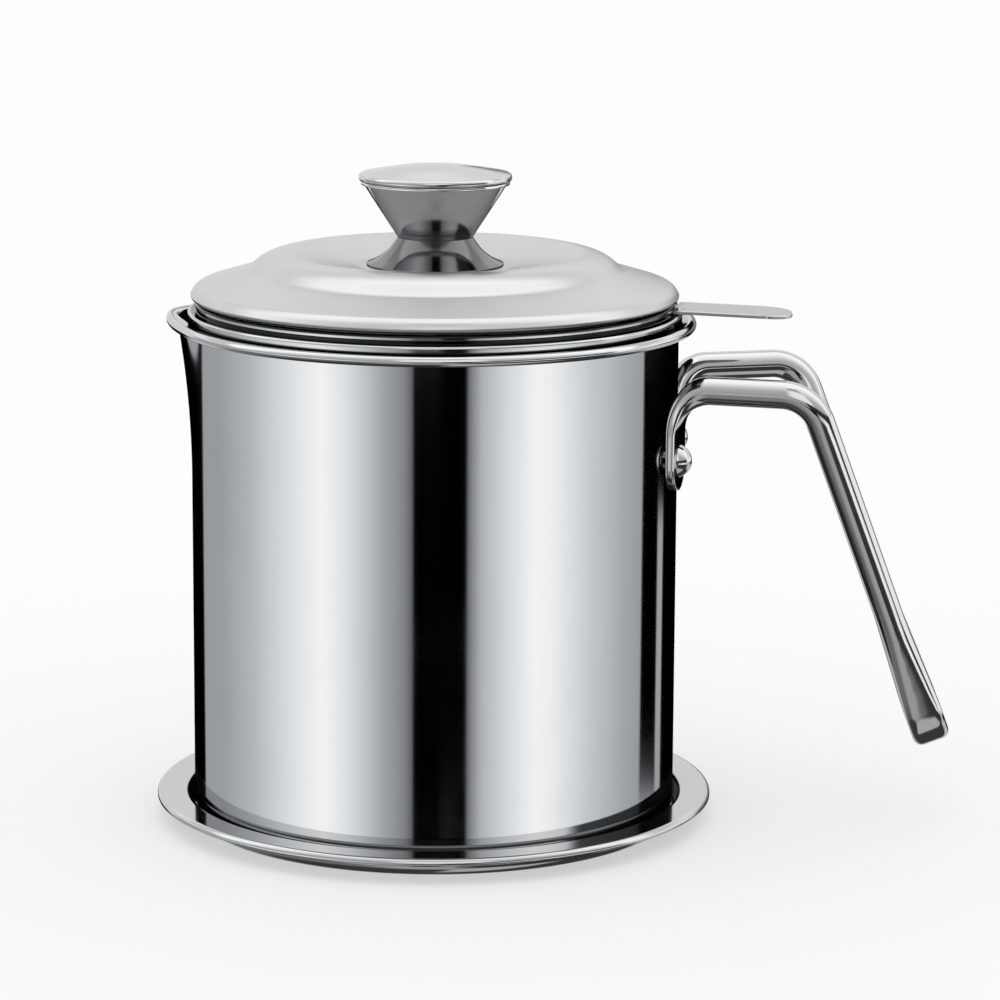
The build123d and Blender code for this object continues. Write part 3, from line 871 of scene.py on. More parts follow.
class OILJUG_OT_handle(PieceOperator, bpy.types.Operator):
    """Loop handle: one bent bar, flattened into two tongues and closed by a U at its lower end"""

    bl_idname = "oil_jug.handle"
    bl_label = "Loop handle"

    tongue_steps = 8
    root_steps = 16
    bend_steps = 12
    grip_steps = 16
    end_steps = 12
    corner_steps = 5
    # Largest rounding of a section, as a share of its narrow side
    most_rounding = 0.49

    def make(self, settings):
        bm = bmesh.new()
        rings = [self.ring(bm, *station) for station in self.stations(settings.handle, settings.jug)]
        for first, second in zip(rings, rings[1:]):
            bmesh.ops.bridge_loops(bm, edges=first + second)
        bmesh.ops.contextual_create(bm, geom=rings[0])
        bmesh.ops.mirror(bm, geom=everything(bm), axis="Y", merge_dist=MERGE_DISTANCE * 10)
        bmesh.ops.recalc_face_normals(bm, faces=bm.faces[:])
        bar = piece("handle_bar", bm, steel("handle_steel", settings.finish), "handle_loop")
        bar.visible_glossy = False

    def ring(self, bm, centre, side, along, width, thickness, corner):
        """One rounded section of the bar, square to its run."""
        across = along.cross(side)
        place = Matrix((side * width, across * thickness, along)).transposed().to_4x4()
        place.translation = centre
        made = bmesh.ops.create_grid(bm, x_segments=1, y_segments=1, size=0.5, matrix=place)
        rounding = min(corner, self.most_rounding * min(width, thickness))
        face = bevel_verts(bm, made["verts"], rounding, self.corner_steps)[0].link_faces[0]
        edges = list(face.edges)
        bmesh.ops.delete(bm, geom=[face], context="FACES_ONLY")
        return edges

    def stations(self, handle, jug):
        """Sections from one tongue's end down to the middle of the U: place, frame and size."""
        turn_out = handle.half_turn
        out = Vector((math.cos(turn_out), -math.sin(turn_out), 0.0))
        side = Vector((math.sin(turn_out), math.cos(turn_out), 0.0))
        level = jug.top - handle.drop
        bend_radius = jug.radius + handle.tongue_gap + handle.tongue_thickness + handle.root_bend
        bend_level = level - handle.bar / 2 - handle.root_bend
        plate = bend_radius - handle.root_bend - handle.tongue_thickness / 2
        found = []

        end_radius = handle.tongue_width / 2
        for index in range(1, self.tongue_steps + 1):
            angle = math.radians(90) * index / self.tongue_steps
            drop = handle.tongue_length - end_radius * (1 - math.cos(angle))
            width = max(2 * end_radius * math.sin(angle), handle.tongue_thickness)
            centre = out * plate + AXIS_UP * (bend_level - drop)
            found.append((centre, side, AXIS_UP, width, handle.tongue_thickness, handle.tongue_corner))

        for index in range(self.root_steps + 1):
            angle = math.radians(90) * (1 - index / self.root_steps)
            flat = math.sin(angle) ** 2
            width = mix(handle.bar, handle.tongue_width, flat)
            thickness = mix(handle.bar, handle.tongue_thickness, flat)
            corner = mix(handle.bar_corner, handle.tongue_corner, flat)
            arm = handle.root_bend + thickness / 2
            centre = out * (bend_radius - arm * math.sin(angle))
            centre = centre + AXIS_UP * (bend_level + arm * math.cos(angle))
            along = out * math.cos(angle) + AXIS_UP * math.sin(angle)
            found.append((centre, side, along, width, thickness, corner))

        down = Vector((math.sin(handle.grip_slant), 0.0, -math.cos(handle.grip_slant)))
        across = Vector((0.0, 1.0, 0.0))
        corner_out = (jug.radius + handle.reach) / math.cos(turn_out)
        corner_point = out * corner_out + AXIS_UP * level
        spread = corner_out * math.sin(turn_out)
        end_down = handle.grip_length - handle.end_radius
        to_centre = math.hypot(end_down, spread)
        lean = math.atan2(spread, end_down) - math.asin(handle.end_radius / to_centre)
        grip = down * math.cos(lean) + across * math.sin(lean)
        bend = out.angle(grip)
        setback = handle.outer_bend * math.tan(bend / 2)
        pivot = out.cross(grip).normalized()
        bend_start = corner_point - out * setback
        bend_centre = bend_start + pivot.cross(out) * handle.outer_bend
        for index in range(self.bend_steps + 1):
            spin = Matrix.Rotation(bend * index / self.bend_steps, 3, pivot)
            centre = bend_centre + spin @ (bend_start - bend_centre)
            found.append((centre, spin @ side, spin @ out, handle.bar, handle.bar, handle.bar_corner))

        rolled = Matrix.Rotation(bend, 3, pivot) @ side
        flat_side = across * math.cos(lean) - down * math.sin(lean)
        run = math.sqrt(to_centre**2 - handle.end_radius**2)
        for index in range(1, self.grip_steps + 1):
            part = index / self.grip_steps
            centre = corner_point + grip * mix(setback, run, part)
            face = rolled.lerp(flat_side, min(part / handle.swell_share, 1.0))
            face = (face - grip * face.dot(grip)).normalized()
            swollen = max(part - handle.swell_share, 0.0) / (1.0 - handle.swell_share)
            thickness = mix(handle.bar, handle.end_size, swollen)
            corner = mix(handle.bar_corner, handle.end_corner, swollen)
            found.append((centre, face, grip, handle.bar, thickness, corner))

        end_centre = corner_point + down * end_down + across * spread
        end_pivot = grip.cross(across).normalized()
        grip_end = corner_point + grip * run
        end_section = (handle.bar, handle.end_size, handle.end_corner)
        for index in range(1, self.end_steps + 1):
            spin = Matrix.Rotation((math.pi / 2 - lean) * index / self.end_steps, 3, end_pivot)
            centre = end_centre + spin @ (grip_end - end_centre)
            found.append((centre, spin @ flat_side, spin @ grip, *end_section))
        return found


class OILJUG_OT_rivets(PieceOperator, bpy.types.Operator):
    """Two domed rivets through the tongues and the wall"""

    bl_idname = "oil_jug.rivets"
    bl_label = "Handle rivets"

    edge = 0.00015

    def make(self, settings):
        handle, jug = settings.handle, settings.jug
        level = jug.top - handle.drop - handle.bar / 2 - handle.root_bend - handle.rivet_setback
        face = jug.radius + handle.tongue_gap + handle.tongue_thickness
        bm = bmesh.new()
        for turn_out in (-handle.half_turn, handle.half_turn):
            out = Vector((math.cos(turn_out), math.sin(turn_out), 0.0))
            place = out.to_track_quat("Z", "Y").to_matrix().to_4x4()
            place.translation = out * face + AXIS_UP * level
            rivet = self.rivet(handle, jug)
            bmesh.ops.transform(rivet, matrix=place, verts=rivet.verts[:])
            mesh = bpy.data.meshes.new("rivet")
            rivet.to_mesh(mesh)
            rivet.free()
            bm.from_mesh(mesh)
            bpy.data.meshes.remove(mesh)
        soften(piece("rivets", bm, steel("rim_steel", settings.finish), "handle_rivets"), self.edge)

    def rivet(self, handle, jug):
        """Head, shank and closed tail, with the head's seat at the origin."""
        bore = jug.radius - jug.wall
        shank, tail = handle.rivet_shank / 2, handle.rivet_tail / 2
        sag = bore - math.sqrt(bore**2 - tail**2)
        tail_level = -(handle.tongue_thickness + handle.tongue_gap + jug.wall + sag)
        bm = bmesh.new()
        last = dome(bm, handle.rivet_head / 2, handle.rivet_dome, 0.0)
        for radius, level in ((shank, 0.0), (shank, tail_level), (tail, tail_level)):
            vert = bm.verts.new((radius, 0.0, level))
            bm.edges.new((last, vert))
            last = vert
        bow = (tail**2 + handle.rivet_tail_dome**2) / (2 * handle.rivet_tail_dome)
        curl(bm, last, 0.0, tail_level - handle.rivet_tail_dome + bow, math.asin(tail / bow))
        turned(bm, steps=SMALL_STEPS)
        return bm


class OILJUG_OT_strainer_ring(PieceOperator, bpy.types.Operator):
    """Strainer collar with its rim and hemmed top, and the clamp ring inside it"""

    bl_idname = "oil_jug.strainer_ring"
    bl_label = "Strainer collar"

    # Rounding of the hem as a share of its diameter, and of the hem's foot as a share of the small rounding
    hem_share = 0.48
    foot_share = 0.8

    def make(self, settings):
        strainer, jug = settings.strainer, settings.jug
        bore = strainer.outer - strainer.sheet
        seat = jug.top - jug.lip_step
        rim_top = seat + strainer.rim_height
        hem_in = bore - (strainer.hem - strainer.sheet) / 2
        hem_out = hem_in + strainer.hem
        hem_foot = strainer.top - strainer.hem
        small, round_hem = strainer.edge_corner, strainer.hem * self.hem_share
        smaller = small * self.foot_share
        bm = lathe(
            (bore, strainer.bottom, small),
            (strainer.outer, strainer.bottom, small),
            (strainer.outer, seat, small),
            (strainer.rim_radius, seat, strainer.rim_corner),
            (strainer.rim_radius, rim_top, strainer.rim_corner),
            (strainer.outer, rim_top, small),
            (strainer.outer, hem_foot, smaller),
            (hem_out, hem_foot, smaller),
            (hem_out, strainer.top, round_hem),
            (hem_in, strainer.top, round_hem),
            (hem_in, hem_foot, smaller),
            (bore, hem_foot, smaller),
            closed=True,
        )
        weigh_normals(piece("strainer_ring", bm, collar_finish(settings), "strainer_collar"))

        outer = bore - strainer.clamp_gap
        top = strainer.bottom + strainer.cloth_band
        bm = flat_ring(outer - strainer.clamp_sheet, outer, strainer.bottom, top, small)
        # The clamp ring shares the lid's finish, whose painted shade falls on everything below the lid's edge
        weigh_normals(piece("clamp_ring", bm, lid_finish(settings), "strainer_clamp_ring"))


class OILJUG_OT_strainer_cloth(PieceOperator, bpy.types.Operator):
    """Bowl of woven wire cloth"""

    bl_idname = "oil_jug.strainer_cloth"
    bl_label = "Strainer cloth"

    def make(self, settings):
        strainer = settings.strainer
        walk = self.meridian(strainer)
        half = int(walk[-1][0] / strainer.cloth_pitch)
        curve = bpy.data.curves.new("strainer_cloth", "CURVE")
        curve.dimensions = "3D"
        curve.bevel_depth = strainer.cloth_wire / 2
        curve.bevel_resolution = 0
        curve.use_fill_caps = True
        for index in range(-half, half + 1):
            for warp in (True, False):
                self.wire(curve, walk, index, half, warp, strainer)
        drawn = bpy.data.objects.new("strainer_cloth_wires", curve)
        mesh = bpy.data.meshes.new_from_object(drawn)
        bpy.data.objects.remove(drawn)
        bpy.data.curves.remove(curve)
        mesh_piece("strainer_cloth", mesh, steel("wire_steel", settings.finish), "strainer_mesh")

    def meridian(self, strainer):
        """Line of the bowl from its middle to its rim: distance walked, radius, height and lean."""
        radius = strainer.outer - strainer.sheet - strainer.cloth_gap
        floor = strainer.bottom - strainer.cloth_depth
        slope = math.atan2(strainer.cloth_crown, radius)
        corner = strainer.cloth_corner
        floor_run = radius / math.cos(slope) - corner * math.tan((math.pi / 2 - slope) / 2)
        arc_run = corner * (math.pi / 2 - slope)
        arc_start = Vector((floor_run * math.cos(slope), floor + floor_run * math.sin(slope)))
        arc_centre = arc_start + Vector((-math.sin(slope), math.cos(slope))) * corner
        wall_run = strainer.bottom + strainer.cloth_band - arc_centre.y
        total = floor_run + arc_run + wall_run
        steps = math.ceil(total / (strainer.cloth_pitch / 2))
        walk = []
        for index in range(steps + 1):
            gone = total * index / steps
            if gone <= floor_run:
                lean = slope
                point = Vector((gone * math.cos(slope), floor + gone * math.sin(slope)))
            elif gone <= floor_run + arc_run:
                lean = slope + (gone - floor_run) / corner
                point = arc_centre + Vector((math.sin(lean), -math.cos(lean))) * corner
            else:
                lean = math.pi / 2
                point = Vector((radius, arc_centre.y + gone - floor_run - arc_run))
            walk.append((gone, point.x, point.y, lean))
        return walk

    def wire(self, curve, walk, index, half, warp, strainer):
        """One wire, over and under the wires that it crosses."""
        total = walk[-1][0]
        lift = strainer.cloth_wire / 2
        points = []
        for crossing in range(-half, half + 1):
            flat = Vector((index, crossing)) if warp else Vector((crossing, index))
            flat *= strainer.cloth_pitch
            if flat.length > total:
                continue
            _, radius, height, lean = walk[round(flat.length / total * (len(walk) - 1))]
            away = flat.normalized() if flat.length else Vector((1.0, 0.0))
            over = 1 if (index + crossing) % 2 == int(warp) else -1
            radius -= over * lift * math.sin(lean)
            height += over * lift * math.cos(lean)
            points.append((away.x * radius, away.y * radius, height))
        if len(points) < 3:
            return
        spline = curve.splines.new("POLY")
        spline.points.add(len(points) - 1)
        for knot, point in zip(spline.points, points):
            knot.co = (*point, 1.0)


def weld_inset(strainer):
    """Distance of the weld nuggets from the axis: the middle of the rim's flat."""
    return (strainer.outer + strainer.rim_radius) / 2


class OILJUG_OT_thumb_tab(PieceOperator, bpy.types.Operator):
    """Flat thumb tab on the strainer's rim, with its two weld nuggets"""

    bl_idname = "oil_jug.thumb_tab"
    bl_label = "Thumb tab"

    corner_steps = 12
    droop_steps = 6

    def make(self, settings):
        strainer, jug = settings.strainer, settings.jug
        rim_top = jug.top - jug.lip_step + strainer.rim_height
        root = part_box("strainer_tab")[0].x
        flat_end = strainer.rim_radius + strainer.tab_flat
        half = strainer.tab_width / 2
        bm = bmesh.new()
        ends = ((root, -half), (strainer.tab_end, -half), (strainer.tab_end, half), (root, half))
        verts = [bm.verts.new((x, y, rim_top)) for x, y in ends]
        bm.faces.new(verts)
        bevel_verts(bm, verts[1:3], strainer.tab_corner, self.corner_steps)
        for index in range(self.droop_steps + 1):
            cut = mix(flat_end, strainer.tab_end - strainer.tab_corner, index / self.droop_steps)
            along = (1.0, 0.0, 0.0)
            bmesh.ops.bisect_plane(bm, geom=everything(bm), plane_co=(cut, 0.0, 0.0), plane_no=along)
        upper = verts_in(bmesh.ops.extrude_face_region(bm, geom=bm.faces[:])["geom"])
        bmesh.ops.translate(bm, verts=upper, vec=AXIS_UP * strainer.tab_sheet)
        for vert in bm.verts:
            beyond = max(vert.co.x - flat_end, 0.0) / (strainer.tab_end - flat_end)
            vert.co.z -= strainer.tab_droop * beyond
        bmesh.ops.recalc_face_normals(bm, faces=bm.faces[:])
        soften(piece("thumb_tab", bm, tab_finish(settings), "strainer_tab"), strainer.tab_edge)
        self.welds(settings, rim_top + strainer.tab_sheet)

    def welds(self, settings, level):
        strainer = settings.strainer
        bm = bmesh.new()
        dome(bm, strainer.weld_size / 2, strainer.weld_dome, 0.0)
        turned(bm, upward=1, steps=SMALL_STEPS)
        nugget = everything(bm)
        second = verts_in(bmesh.ops.duplicate(bm, geom=nugget)["geom"])
        for verts, sign in ((verts_in(nugget), -1), (second, 1)):
            place = Vector((weld_inset(strainer), sign * strainer.weld_spacing / 2, level))
            bmesh.ops.translate(bm, verts=verts, vec=place)
        piece("weld_nuggets", bm, steel("rim_steel", settings.finish), "tab_spot_welds")


class OILJUG_OT_lid(PieceOperator, bpy.types.Operator):
    """Pressed lid with a rolled edge, a sloping brim, a raised shoulder and a dished middle; and its skirt"""

    bl_idname = "oil_jug.lid"
    bl_label = "Lid"

    edge_curl = math.radians(200)

    def make(self, settings):
        lid = settings.lid
        brim = lid.edge + lid.edge_rise
        crease = brim + lid.brim_rise
        crest = crease + lid.crest_rise
        seat = crest - lid.seat_drop
        crease_radius = lid.radius - lid.brim_width
        bead = lid.bead / 2
        corners = [
            (lid.hole / 2, seat, 0.0),
            (lid.seat_radius, seat, lid.seat_corner),
            (crease_radius - lid.shoulder_width, crest, lid.crest_corner),
            (crease_radius, crease, lid.crease_corner),
            (lid.radius - lid.edge_width, brim, lid.edge_corner),
            (lid.radius, lid.edge + bead, 0.0),
        ]
        bm = bmesh.new()
        last = outline(bm, corners)
        curl(bm, last, lid.radius - bead, lid.edge + bead, self.edge_curl)
        turned(bm, upward=1)
        thicken(piece("lid_cover", bm, lid_finish(settings), "lid_shell"), lid.sheet)
        self.skirt(settings, brim)

    def skirt(self, settings, brim):
        """Locating ring; its flange lies along the underside of the brim."""
        lid = settings.lid
        corner_radius = lid.radius - lid.edge_width
        slope = math.atan2(lid.brim_rise, lid.brim_width - lid.edge_width)
        under = (lid.sheet + lid.skirt_gap) / math.cos(slope)
        bend = brim + (corner_radius - lid.skirt_radius) * math.tan(slope) - under
        bm = lathe(
            (lid.skirt_radius, lid.skirt_bottom, 0.0),
            (lid.skirt_radius, bend, lid.skirt_corner),
            (lid.skirt_radius - lid.skirt_flange, bend + lid.skirt_flange * math.tan(slope), 0.0),
            upward=1,
        )
        thicken(piece("skirt_ring", bm, steel("skirt_steel", settings.finish), "lid_skirt"), lid.sheet)


def seat_level(lid):
    """Height of the knob's flat seat on the lid."""
    return lid.edge + lid.edge_rise + lid.brim_rise + lid.crest_rise - lid.seat_drop


class OILJUG_OT_knob(PieceOperator, bpy.types.Operator):
    """Waisted knob: flared foot, cone and domed cap"""

    bl_idname = "oil_jug.knob"
    bl_label = "Knob"

    def make(self, settings):
        knob, finish = settings.knob, settings.finish
        hole = settings.lid.hole / 2
        seat = seat_level(settings.lid)
        rim = seat + knob.foot_rim
        waist = seat + knob.waist_height
        foot = lathe(
            (knob.base_radius, seat, 0.0),
            (knob.base_radius, rim, knob.chamfer),
            (knob.base_radius - knob.flare_in, rim + knob.flare_rise, knob.flare_corner),
            (knob.waist_radius, waist, 0.0),
            (hole, waist, 0.0),
            upward=1,
        )
        # The foot's dark steel is painted shade
        thicken(piece("knob_foot", foot, steel("foot_steel", finish), "knob_base"), knob.base_sheet)

        top = waist + knob.cup_height - knob.seam - knob.sheet
        cone = lathe(
            (hole, waist, 0.0),
            (knob.waist_radius, waist, 0.0),
            (knob.cup_radius, top, knob.chamfer),
            (knob.cup_radius + knob.cup_flange / 2, top, 0.0),
            upward=-1,
        )
        # The cone's lighter steel is painted light
        thicken(piece("knob_cone", cone, steel("cone_steel", finish), "knob_cup"), knob.sheet)

        level = waist + knob.cup_height
        edge = level + knob.cap_edge
        cap = lathe(
            (0.0, edge + knob.cap_crown, 0.0),
            (knob.cap_flat, edge + knob.cap_crown, knob.cap_bow),
            (knob.cap_radius, edge, knob.cap_corner),
            (knob.cap_radius, level, knob.cap_lip_corner),
            (knob.cup_radius - knob.cup_flange / 2, level, 0.0),
            upward=1,
        )
        thicken(piece("knob_disc", cap, steel("cap_steel", finish), "knob_cap"), knob.sheet)


class OILJUG_OT_fasteners(PieceOperator, bpy.types.Operator):
    """Screw, washer and nut that hold the knob"""

    bl_idname = "oil_jug.fasteners"
    bl_label = "Knob fasteners"

    # The nut's bore as a share of the screw
    nut_bore = 1.1

    def make(self, settings):
        knob, lid = settings.knob, settings.lid
        plated = steel("fastener_steel", settings.finish)
        under = seat_level(lid) - lid.sheet
        head_top = under - knob.washer_sheet
        washer = flat_ring(lid.hole / 2, knob.washer / 2, head_top, under, knob.chamfer, steps=SMALL_STEPS)
        piece("washer_ring", washer, plated, "knob_washer")

        floor = seat_level(lid) + knob.waist_height + knob.sheet
        end = floor + knob.nut_height
        corner = knob.nut_flats / 2 / math.cos(math.pi / 6)
        bore = knob.screw / 2 * self.nut_bore
        nut = flat_ring(bore, corner, floor, end, knob.chamfer, knob.chamfer * 2, steps=6)
        piece("hex_nut", nut, plated, "knob_nut")

        bottom = head_top - knob.screw_head_height
        screw = lathe(
            (0.0, bottom, 0.0),
            (knob.screw_head / 2, bottom, knob.screw_head_corner),
            (knob.screw_head / 2, head_top, knob.chamfer),
            (knob.screw / 2, head_top, 0.0),
            (knob.screw / 2, end, knob.chamfer * 2),
            (0.0, end, 0.0),
            upward=-1,
            steps=SMALL_STEPS,
        )
        self.cross_recess(screw, knob, bottom)
        piece("knob_bolt", screw, plated, "knob_screw")

    def cross_recess(self, bm, knob, level):
        """Presses a cross into the head's flat underside."""

        def is_flat(face):
            return abs(face.calc_center_median().z - level) < MERGE_DISTANCE

        narrow, long = knob.recess_width / 2, knob.recess_length / 2
        for along in (Vector((1.0, 0.0, 0.0)), Vector((0.0, 1.0, 0.0))):
            for offset in (-long, -narrow, narrow, long):
                flat = [face for face in bm.faces if is_flat(face)]
                parts = {item for face in flat for item in (*face.verts, *face.edges)}
                geom = flat + list(parts)
                bmesh.ops.bisect_plane(bm, geom=geom, plane_co=along * offset, plane_no=along)
        cross = []
        for face in bm.faces:
            middle = face.calc_center_median()
            near, far = sorted((abs(middle.x), abs(middle.y)))
            if is_flat(face) and near < narrow and far < long:
                cross.append(face)
        pressed = verts_in(bmesh.ops.extrude_face_region(bm, geom=cross)["geom"])
        bmesh.ops.translate(bm, verts=pressed, vec=AXIS_UP * knob.recess_depth)
        bmesh.ops.delete(bm, geom=cross, context="FACES")
        bmesh.ops.recalc_face_normals(bm, faces=bm.faces[:])


# Stage


def floor_finish(stage):
    """Plain pale floor with a hardly visible change of tone, partly plain white to the camera."""
    material = bpy.data.materials.new("floor_paint")
    base = empty_tree(material)
    place = base.node("ShaderNodeTexCoord", output="Object")
    cloud = place.noise(scale=1.5, detail=2.0, roughness=0.5)
    tone = cloud.blend(opaque(stage.floor_colour), opaque(stage.floor_colour, shade=0.995))
    paint = base.node("ShaderNodeBsdfDiffuse", sockets={"Color": tone})
    white = base.node("ShaderNodeEmission", sockets={"Color": tone, "Strength": 1.0})
    seen = base.node("ShaderNodeLightPath", output="Is Camera Ray") * stage.floor_glow
    surface = base.node("ShaderNodeMixShader", sockets={0: seen, 1: paint, 2: white})
    base.node("ShaderNodeOutputMaterial", sockets={"Surface": surface})
    return material


# Levels of the studio's light. The panels run from the front round to the back, as shares of a half
# turn; what hangs overhead runs from the back over the top to the front.
LEFT_PANEL = (
    (0.070, 0.0),
    (0.074, 0.15),
    (0.093, 0.31),
    (0.154, 0.54),
    (0.250, 1.04),
    (0.315, 1.24),
    (0.385, 1.09),
    (0.550, 0.64),
    (0.680, 0.46),
    (0.803, 0.42),
    (0.809, 0.0),
)
RIGHT_PANEL = (
    (0.065, 0.0),
    (0.069, 0.20),
    (0.105, 0.62),
    (0.180, 0.99),
    (0.250, 1.24),
    (0.300, 1.18),
    (0.420, 0.80),
    (0.540, 0.54),
    (0.622, 0.44),
    (0.628, 0.0),
    (0.713, 0.0),
    (0.719, 0.45),
    (0.750, 0.45),
    (0.756, 0.0),
)
BACK_OVERHEAD = (
    (0.0, 0.78),
    (0.12, 0.80),
    (0.16, 1.00),
    (0.18, 1.00),
    (0.21, 0.72),
    (0.29, 0.72),
    (0.35, 1.35),
)
OVERHEAD = BACK_OVERHEAD + (
    (0.58, 1.35),
    (0.63, 0.40),
    (0.69, 0.40),
    (0.75, 1.05),
    (1.0, 1.05),
)
ASIDE = BACK_OVERHEAD + (
    (0.52, 1.20),
    (0.70, 0.75),
    (0.80, 0.55),
    (1.0, 0.42),
)
COOL = (0.957, 1.0, 1.03, 1.0)
COOL_BELOW = (1.0, 1.2)

# Soft edges: bearing in radians from the dark gap, spread as a share of a half turn, height in degrees
GAP = (-0.01, 0.01)
ASIDE_EDGE = (0.08, 0.14)
SIDE_EDGE = (0.34, 0.40)
PANEL_FOOT, RIGHT_FOOT = (-22.0, -17.0), (-17.6, -16.6)
PANEL_TOP, STRIP_TOP = (-8.6, -7.6), (6.0, 10.0)
LEVEL_EDGE = (30.0, 40.0)

# Patches of grey: the level, then the edges from which and to which each reaches
PANEL_PATCHES = (
    (0.44, dict(
        bearing_from=GAP, spread_from=(0.616, 0.622), spread_to=(0.719, 0.725), height_to=(-15.5, -15.1)
    )),
    (0.0, dict(bearing_from=GAP, spread_from=(0.640, 0.648), height_from=(-11.6, -11.0))),
)
STRIP_LEVEL = 0.42
STRIP_PATCHES = (
    (0.03, dict(bearing_from=GAP)),
    (1.10, dict(bearing_from=GAP, spread_from=(0.43, 0.47))),
    (0.80, dict(bearing_to=GAP, spread_from=(0.70, 0.76))),
    (0.22, dict(bearing_from=GAP, spread_from=(0.70, 0.76))),
)
GROUND_LEVEL = 0.19
GROUND_PATCHES = (
    (0.42, dict(bearing_from=(-0.80, -0.25), bearing_to=(0.10, 0.16))),
    (0.04, dict(bearing_from=GAP, spread_from=(0.06, 0.10))),
    (0.60, dict(bearing_from=GAP, spread_from=(0.45, 0.55), height_from=(-40.0, -32.0))),
    (0.60, dict(spread_from=(0.60, 0.80), height_from=(-40.0, -32.0))),
    (0.05, dict(height_to=(-54.0, -42.0))),
    (0.50, dict(bearing_from=(0.05, 0.20), spread_to=(0.36, 0.42), height_to=(-48.0, -40.0))),
)

# Ray depth of light that one piece mirrors, and the change to light that two pieces mirror
FIRST_BOUNCE = 2.0
SECOND_BOUNCE = (2.4, 2.6)
SIDE_LOSS = 0.7


def patched(colour, patches, measures):
    """Lays patches of grey over a colour, inside their soft edges."""
    for level, edges in patches:
        masks = []
        for name, edge in edges.items():
            measure, end = name.split("_")
            rise = measures[measure].step(*edge)
            masks.append(rise if end == "from" else 1.0 - rise)
        colour = math.prod(masks).blend(colour, grey(level))
    return colour


def studio_light(world, stage):
    """White to the camera, plain soft light on matt surfaces, and light panels in what metal mirrors."""
    base = empty_tree(world)
    x, y, z = base.node("ShaderNodeTexCoord", output="Generated").parts()
    bearing = base.math("ARCTAN2", x, 0.0 - y) - (stage.gap_shift + stage.camera_turn)
    spread = base.math("ABSOLUTE", bearing) / math.pi
    height = base.math("ARCSINE", z) / math.radians(1.0)
    arch = base.math("ARCTAN2", z, y) / math.pi
    measures = {"bearing": bearing, "spread": spread, "height": height}
    right = bearing.step(*GAP)

    overhead = spread.step(*ASIDE_EDGE).blend(arch.ramp(OVERHEAD), arch.ramp(ASIDE))
    panels = right.blend(spread.ramp(LEFT_PANEL), spread.ramp(RIGHT_PANEL))
    panels = patched(panels, PANEL_PATCHES, measures)
    panels = (1.0 - panels.step(*COOL_BELOW)).blend(panels, COOL, "MULTIPLY")
    strip = patched(grey(STRIP_LEVEL), STRIP_PATCHES, measures)
    ground = patched(grey(GROUND_LEVEL), GROUND_PATCHES, measures)
    mirrored = (1.0 - height.step(*PANEL_FOOT)).blend(panels, ground)
    mirrored = (right * (1.0 - height.step(*RIGHT_FOOT))).blend(mirrored, ground)
    mirrored = height.step(*PANEL_TOP).blend(mirrored, strip)
    mirrored = height.step(*STRIP_TOP).blend(mirrored, overhead)

    path = base.node("ShaderNodeLightPath").socket.node.outputs
    depth, glossy = Shade(base.tree, path["Ray Depth"]), Shade(base.tree, path["Is Glossy Ray"])
    level = 1.0 - base.math("ABSOLUTE", height).step(*LEVEL_EDGE)
    mirrored = (level * depth.step(*SECOND_BOUNCE)).blend(mirrored, panels)
    sideways = right * spread.step(*SIDE_EDGE)
    kept = stage.bounce_share + level * (1.0 - sideways) * (stage.level_share - stage.bounce_share)
    kept = kept * (1.0 - level * sideways * SIDE_LOSS)
    fade = base.math("POWER", kept, base.math("MAXIMUM", depth - FIRST_BOUNCE, 0.0))
    strength = glossy * (fade - 1.0) + 1.0
    seen = glossy.blend(grey(1.0), mirrored)
    light = base.node("ShaderNodeBackground", sockets={"Color": seen, "Strength": strength})
    base.node("ShaderNodeOutputWorld", sockets={"Surface": light})


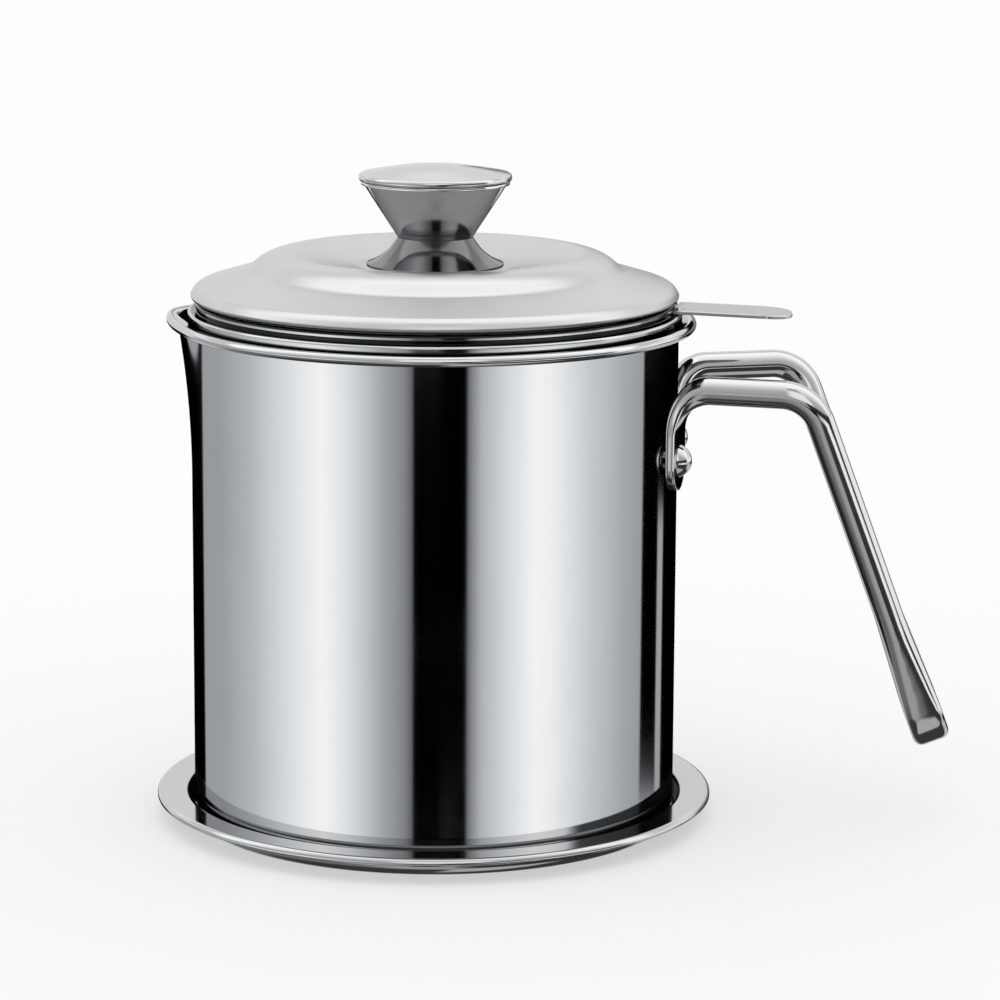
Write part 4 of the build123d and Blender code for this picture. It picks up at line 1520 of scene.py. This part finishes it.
class OILJUG_OT_stage(PieceOperator, bpy.types.Operator):
    """Pale floor, soft studio light and the camera"""

    bl_idname = "oil_jug.stage"
    bl_label = "Stage"

    def make(self, settings):
        stage = settings.stage
        scene = bpy.context.scene
        scene.view_settings.view_transform = "Standard"
        self.floor(scene, stage)
        scene.world = bpy.data.worlds.new("studio")
        studio_light(scene.world, stage)
        self.camera(scene, stage)

    def floor(self, scene, stage):
        bm = bmesh.new()
        bmesh.ops.create_circle(
            bm,
            cap_ends=True,
            segments=SMALL_STEPS,
            radius=stage.floor_radius,
            matrix=Matrix.Translation(-AXIS_UP * stage.floor_gap),
        )
        mesh = bpy.data.meshes.new("floor")
        bm.to_mesh(mesh)
        bm.free()
        mesh.materials.append(floor_finish(stage))
        floor = bpy.data.objects.new("floor", mesh)
        scene.collection.objects.link(floor)
        floor.visible_glossy = False

    def camera(self, scene, stage):
        pitch, yaw, roll = stage.camera_pitch, stage.camera_yaw, stage.camera_roll
        ahead = Vector((math.sin(yaw) * math.cos(pitch), math.cos(yaw) * math.cos(pitch), -math.sin(pitch)))
        right = Vector((math.cos(yaw), -math.sin(yaw), 0.0))
        up = right.cross(ahead)
        rolled_right = right * math.cos(roll) + up * math.sin(roll)
        rolled_up = up * math.cos(roll) - right * math.sin(roll)
        place = Matrix((rolled_right, rolled_up, -ahead)).transposed().to_4x4()
        place.translation = (0.0, -stage.camera_distance, stage.camera_height)
        data = bpy.data.cameras.new("camera")
        data.lens = stage.lens
        data.sensor_width = 36.0
        camera = bpy.data.objects.new("camera", data)
        camera.matrix_world = Matrix.Rotation(stage.camera_turn, 4, AXIS_UP) @ place
        scene.collection.objects.link(camera)
        scene.camera = camera


# Add-on


STEPS = (
    OILJUG_OT_tray,
    OILJUG_OT_jug,
    OILJUG_OT_handle,
    OILJUG_OT_rivets,
    OILJUG_OT_strainer_ring,
    OILJUG_OT_strainer_cloth,
    OILJUG_OT_thumb_tab,
    OILJUG_OT_lid,
    OILJUG_OT_knob,
    OILJUG_OT_fasteners,
    OILJUG_OT_stage,
)


class OILJUG_PT_panel(bpy.types.Panel):
    """Lists the jug's pieces and their sizes"""

    bl_idname = "OILJUG_PT_panel"
    bl_label = "Oil strainer jug"
    bl_space_type = "VIEW_3D"
    bl_region_type = "UI"
    bl_category = "Jug"

    def draw(self, context):
        settings = context.scene.oil_jug
        for step in STEPS:
            self.layout.operator(step.bl_idname)
        for name, group in GROUPS:
            box = self.layout.box()
            box.label(text=group.__doc__)
            for key in group.__annotations__:
                label = key.replace("_", " ").capitalize()
                box.prop(getattr(settings, name), key, text=label)


CLASSES = tuple(group for _, group in GROUPS) + (JugSettings,) + STEPS + (OILJUG_PT_panel,)


def register():
    for each in CLASSES:
        bpy.utils.register_class(each)
    bpy.types.Scene.oil_jug = PointerProperty(type=JugSettings)


def unregister():
    del bpy.types.Scene.oil_jug
    for each in reversed(CLASSES):
        bpy.utils.unregister_class(each)


def main():
    register()
    for step in STEPS:
        group, name = step.bl_idname.split(".")
        getattr(getattr(bpy.ops, group), name)()


if __name__ == "__main__":
    main()
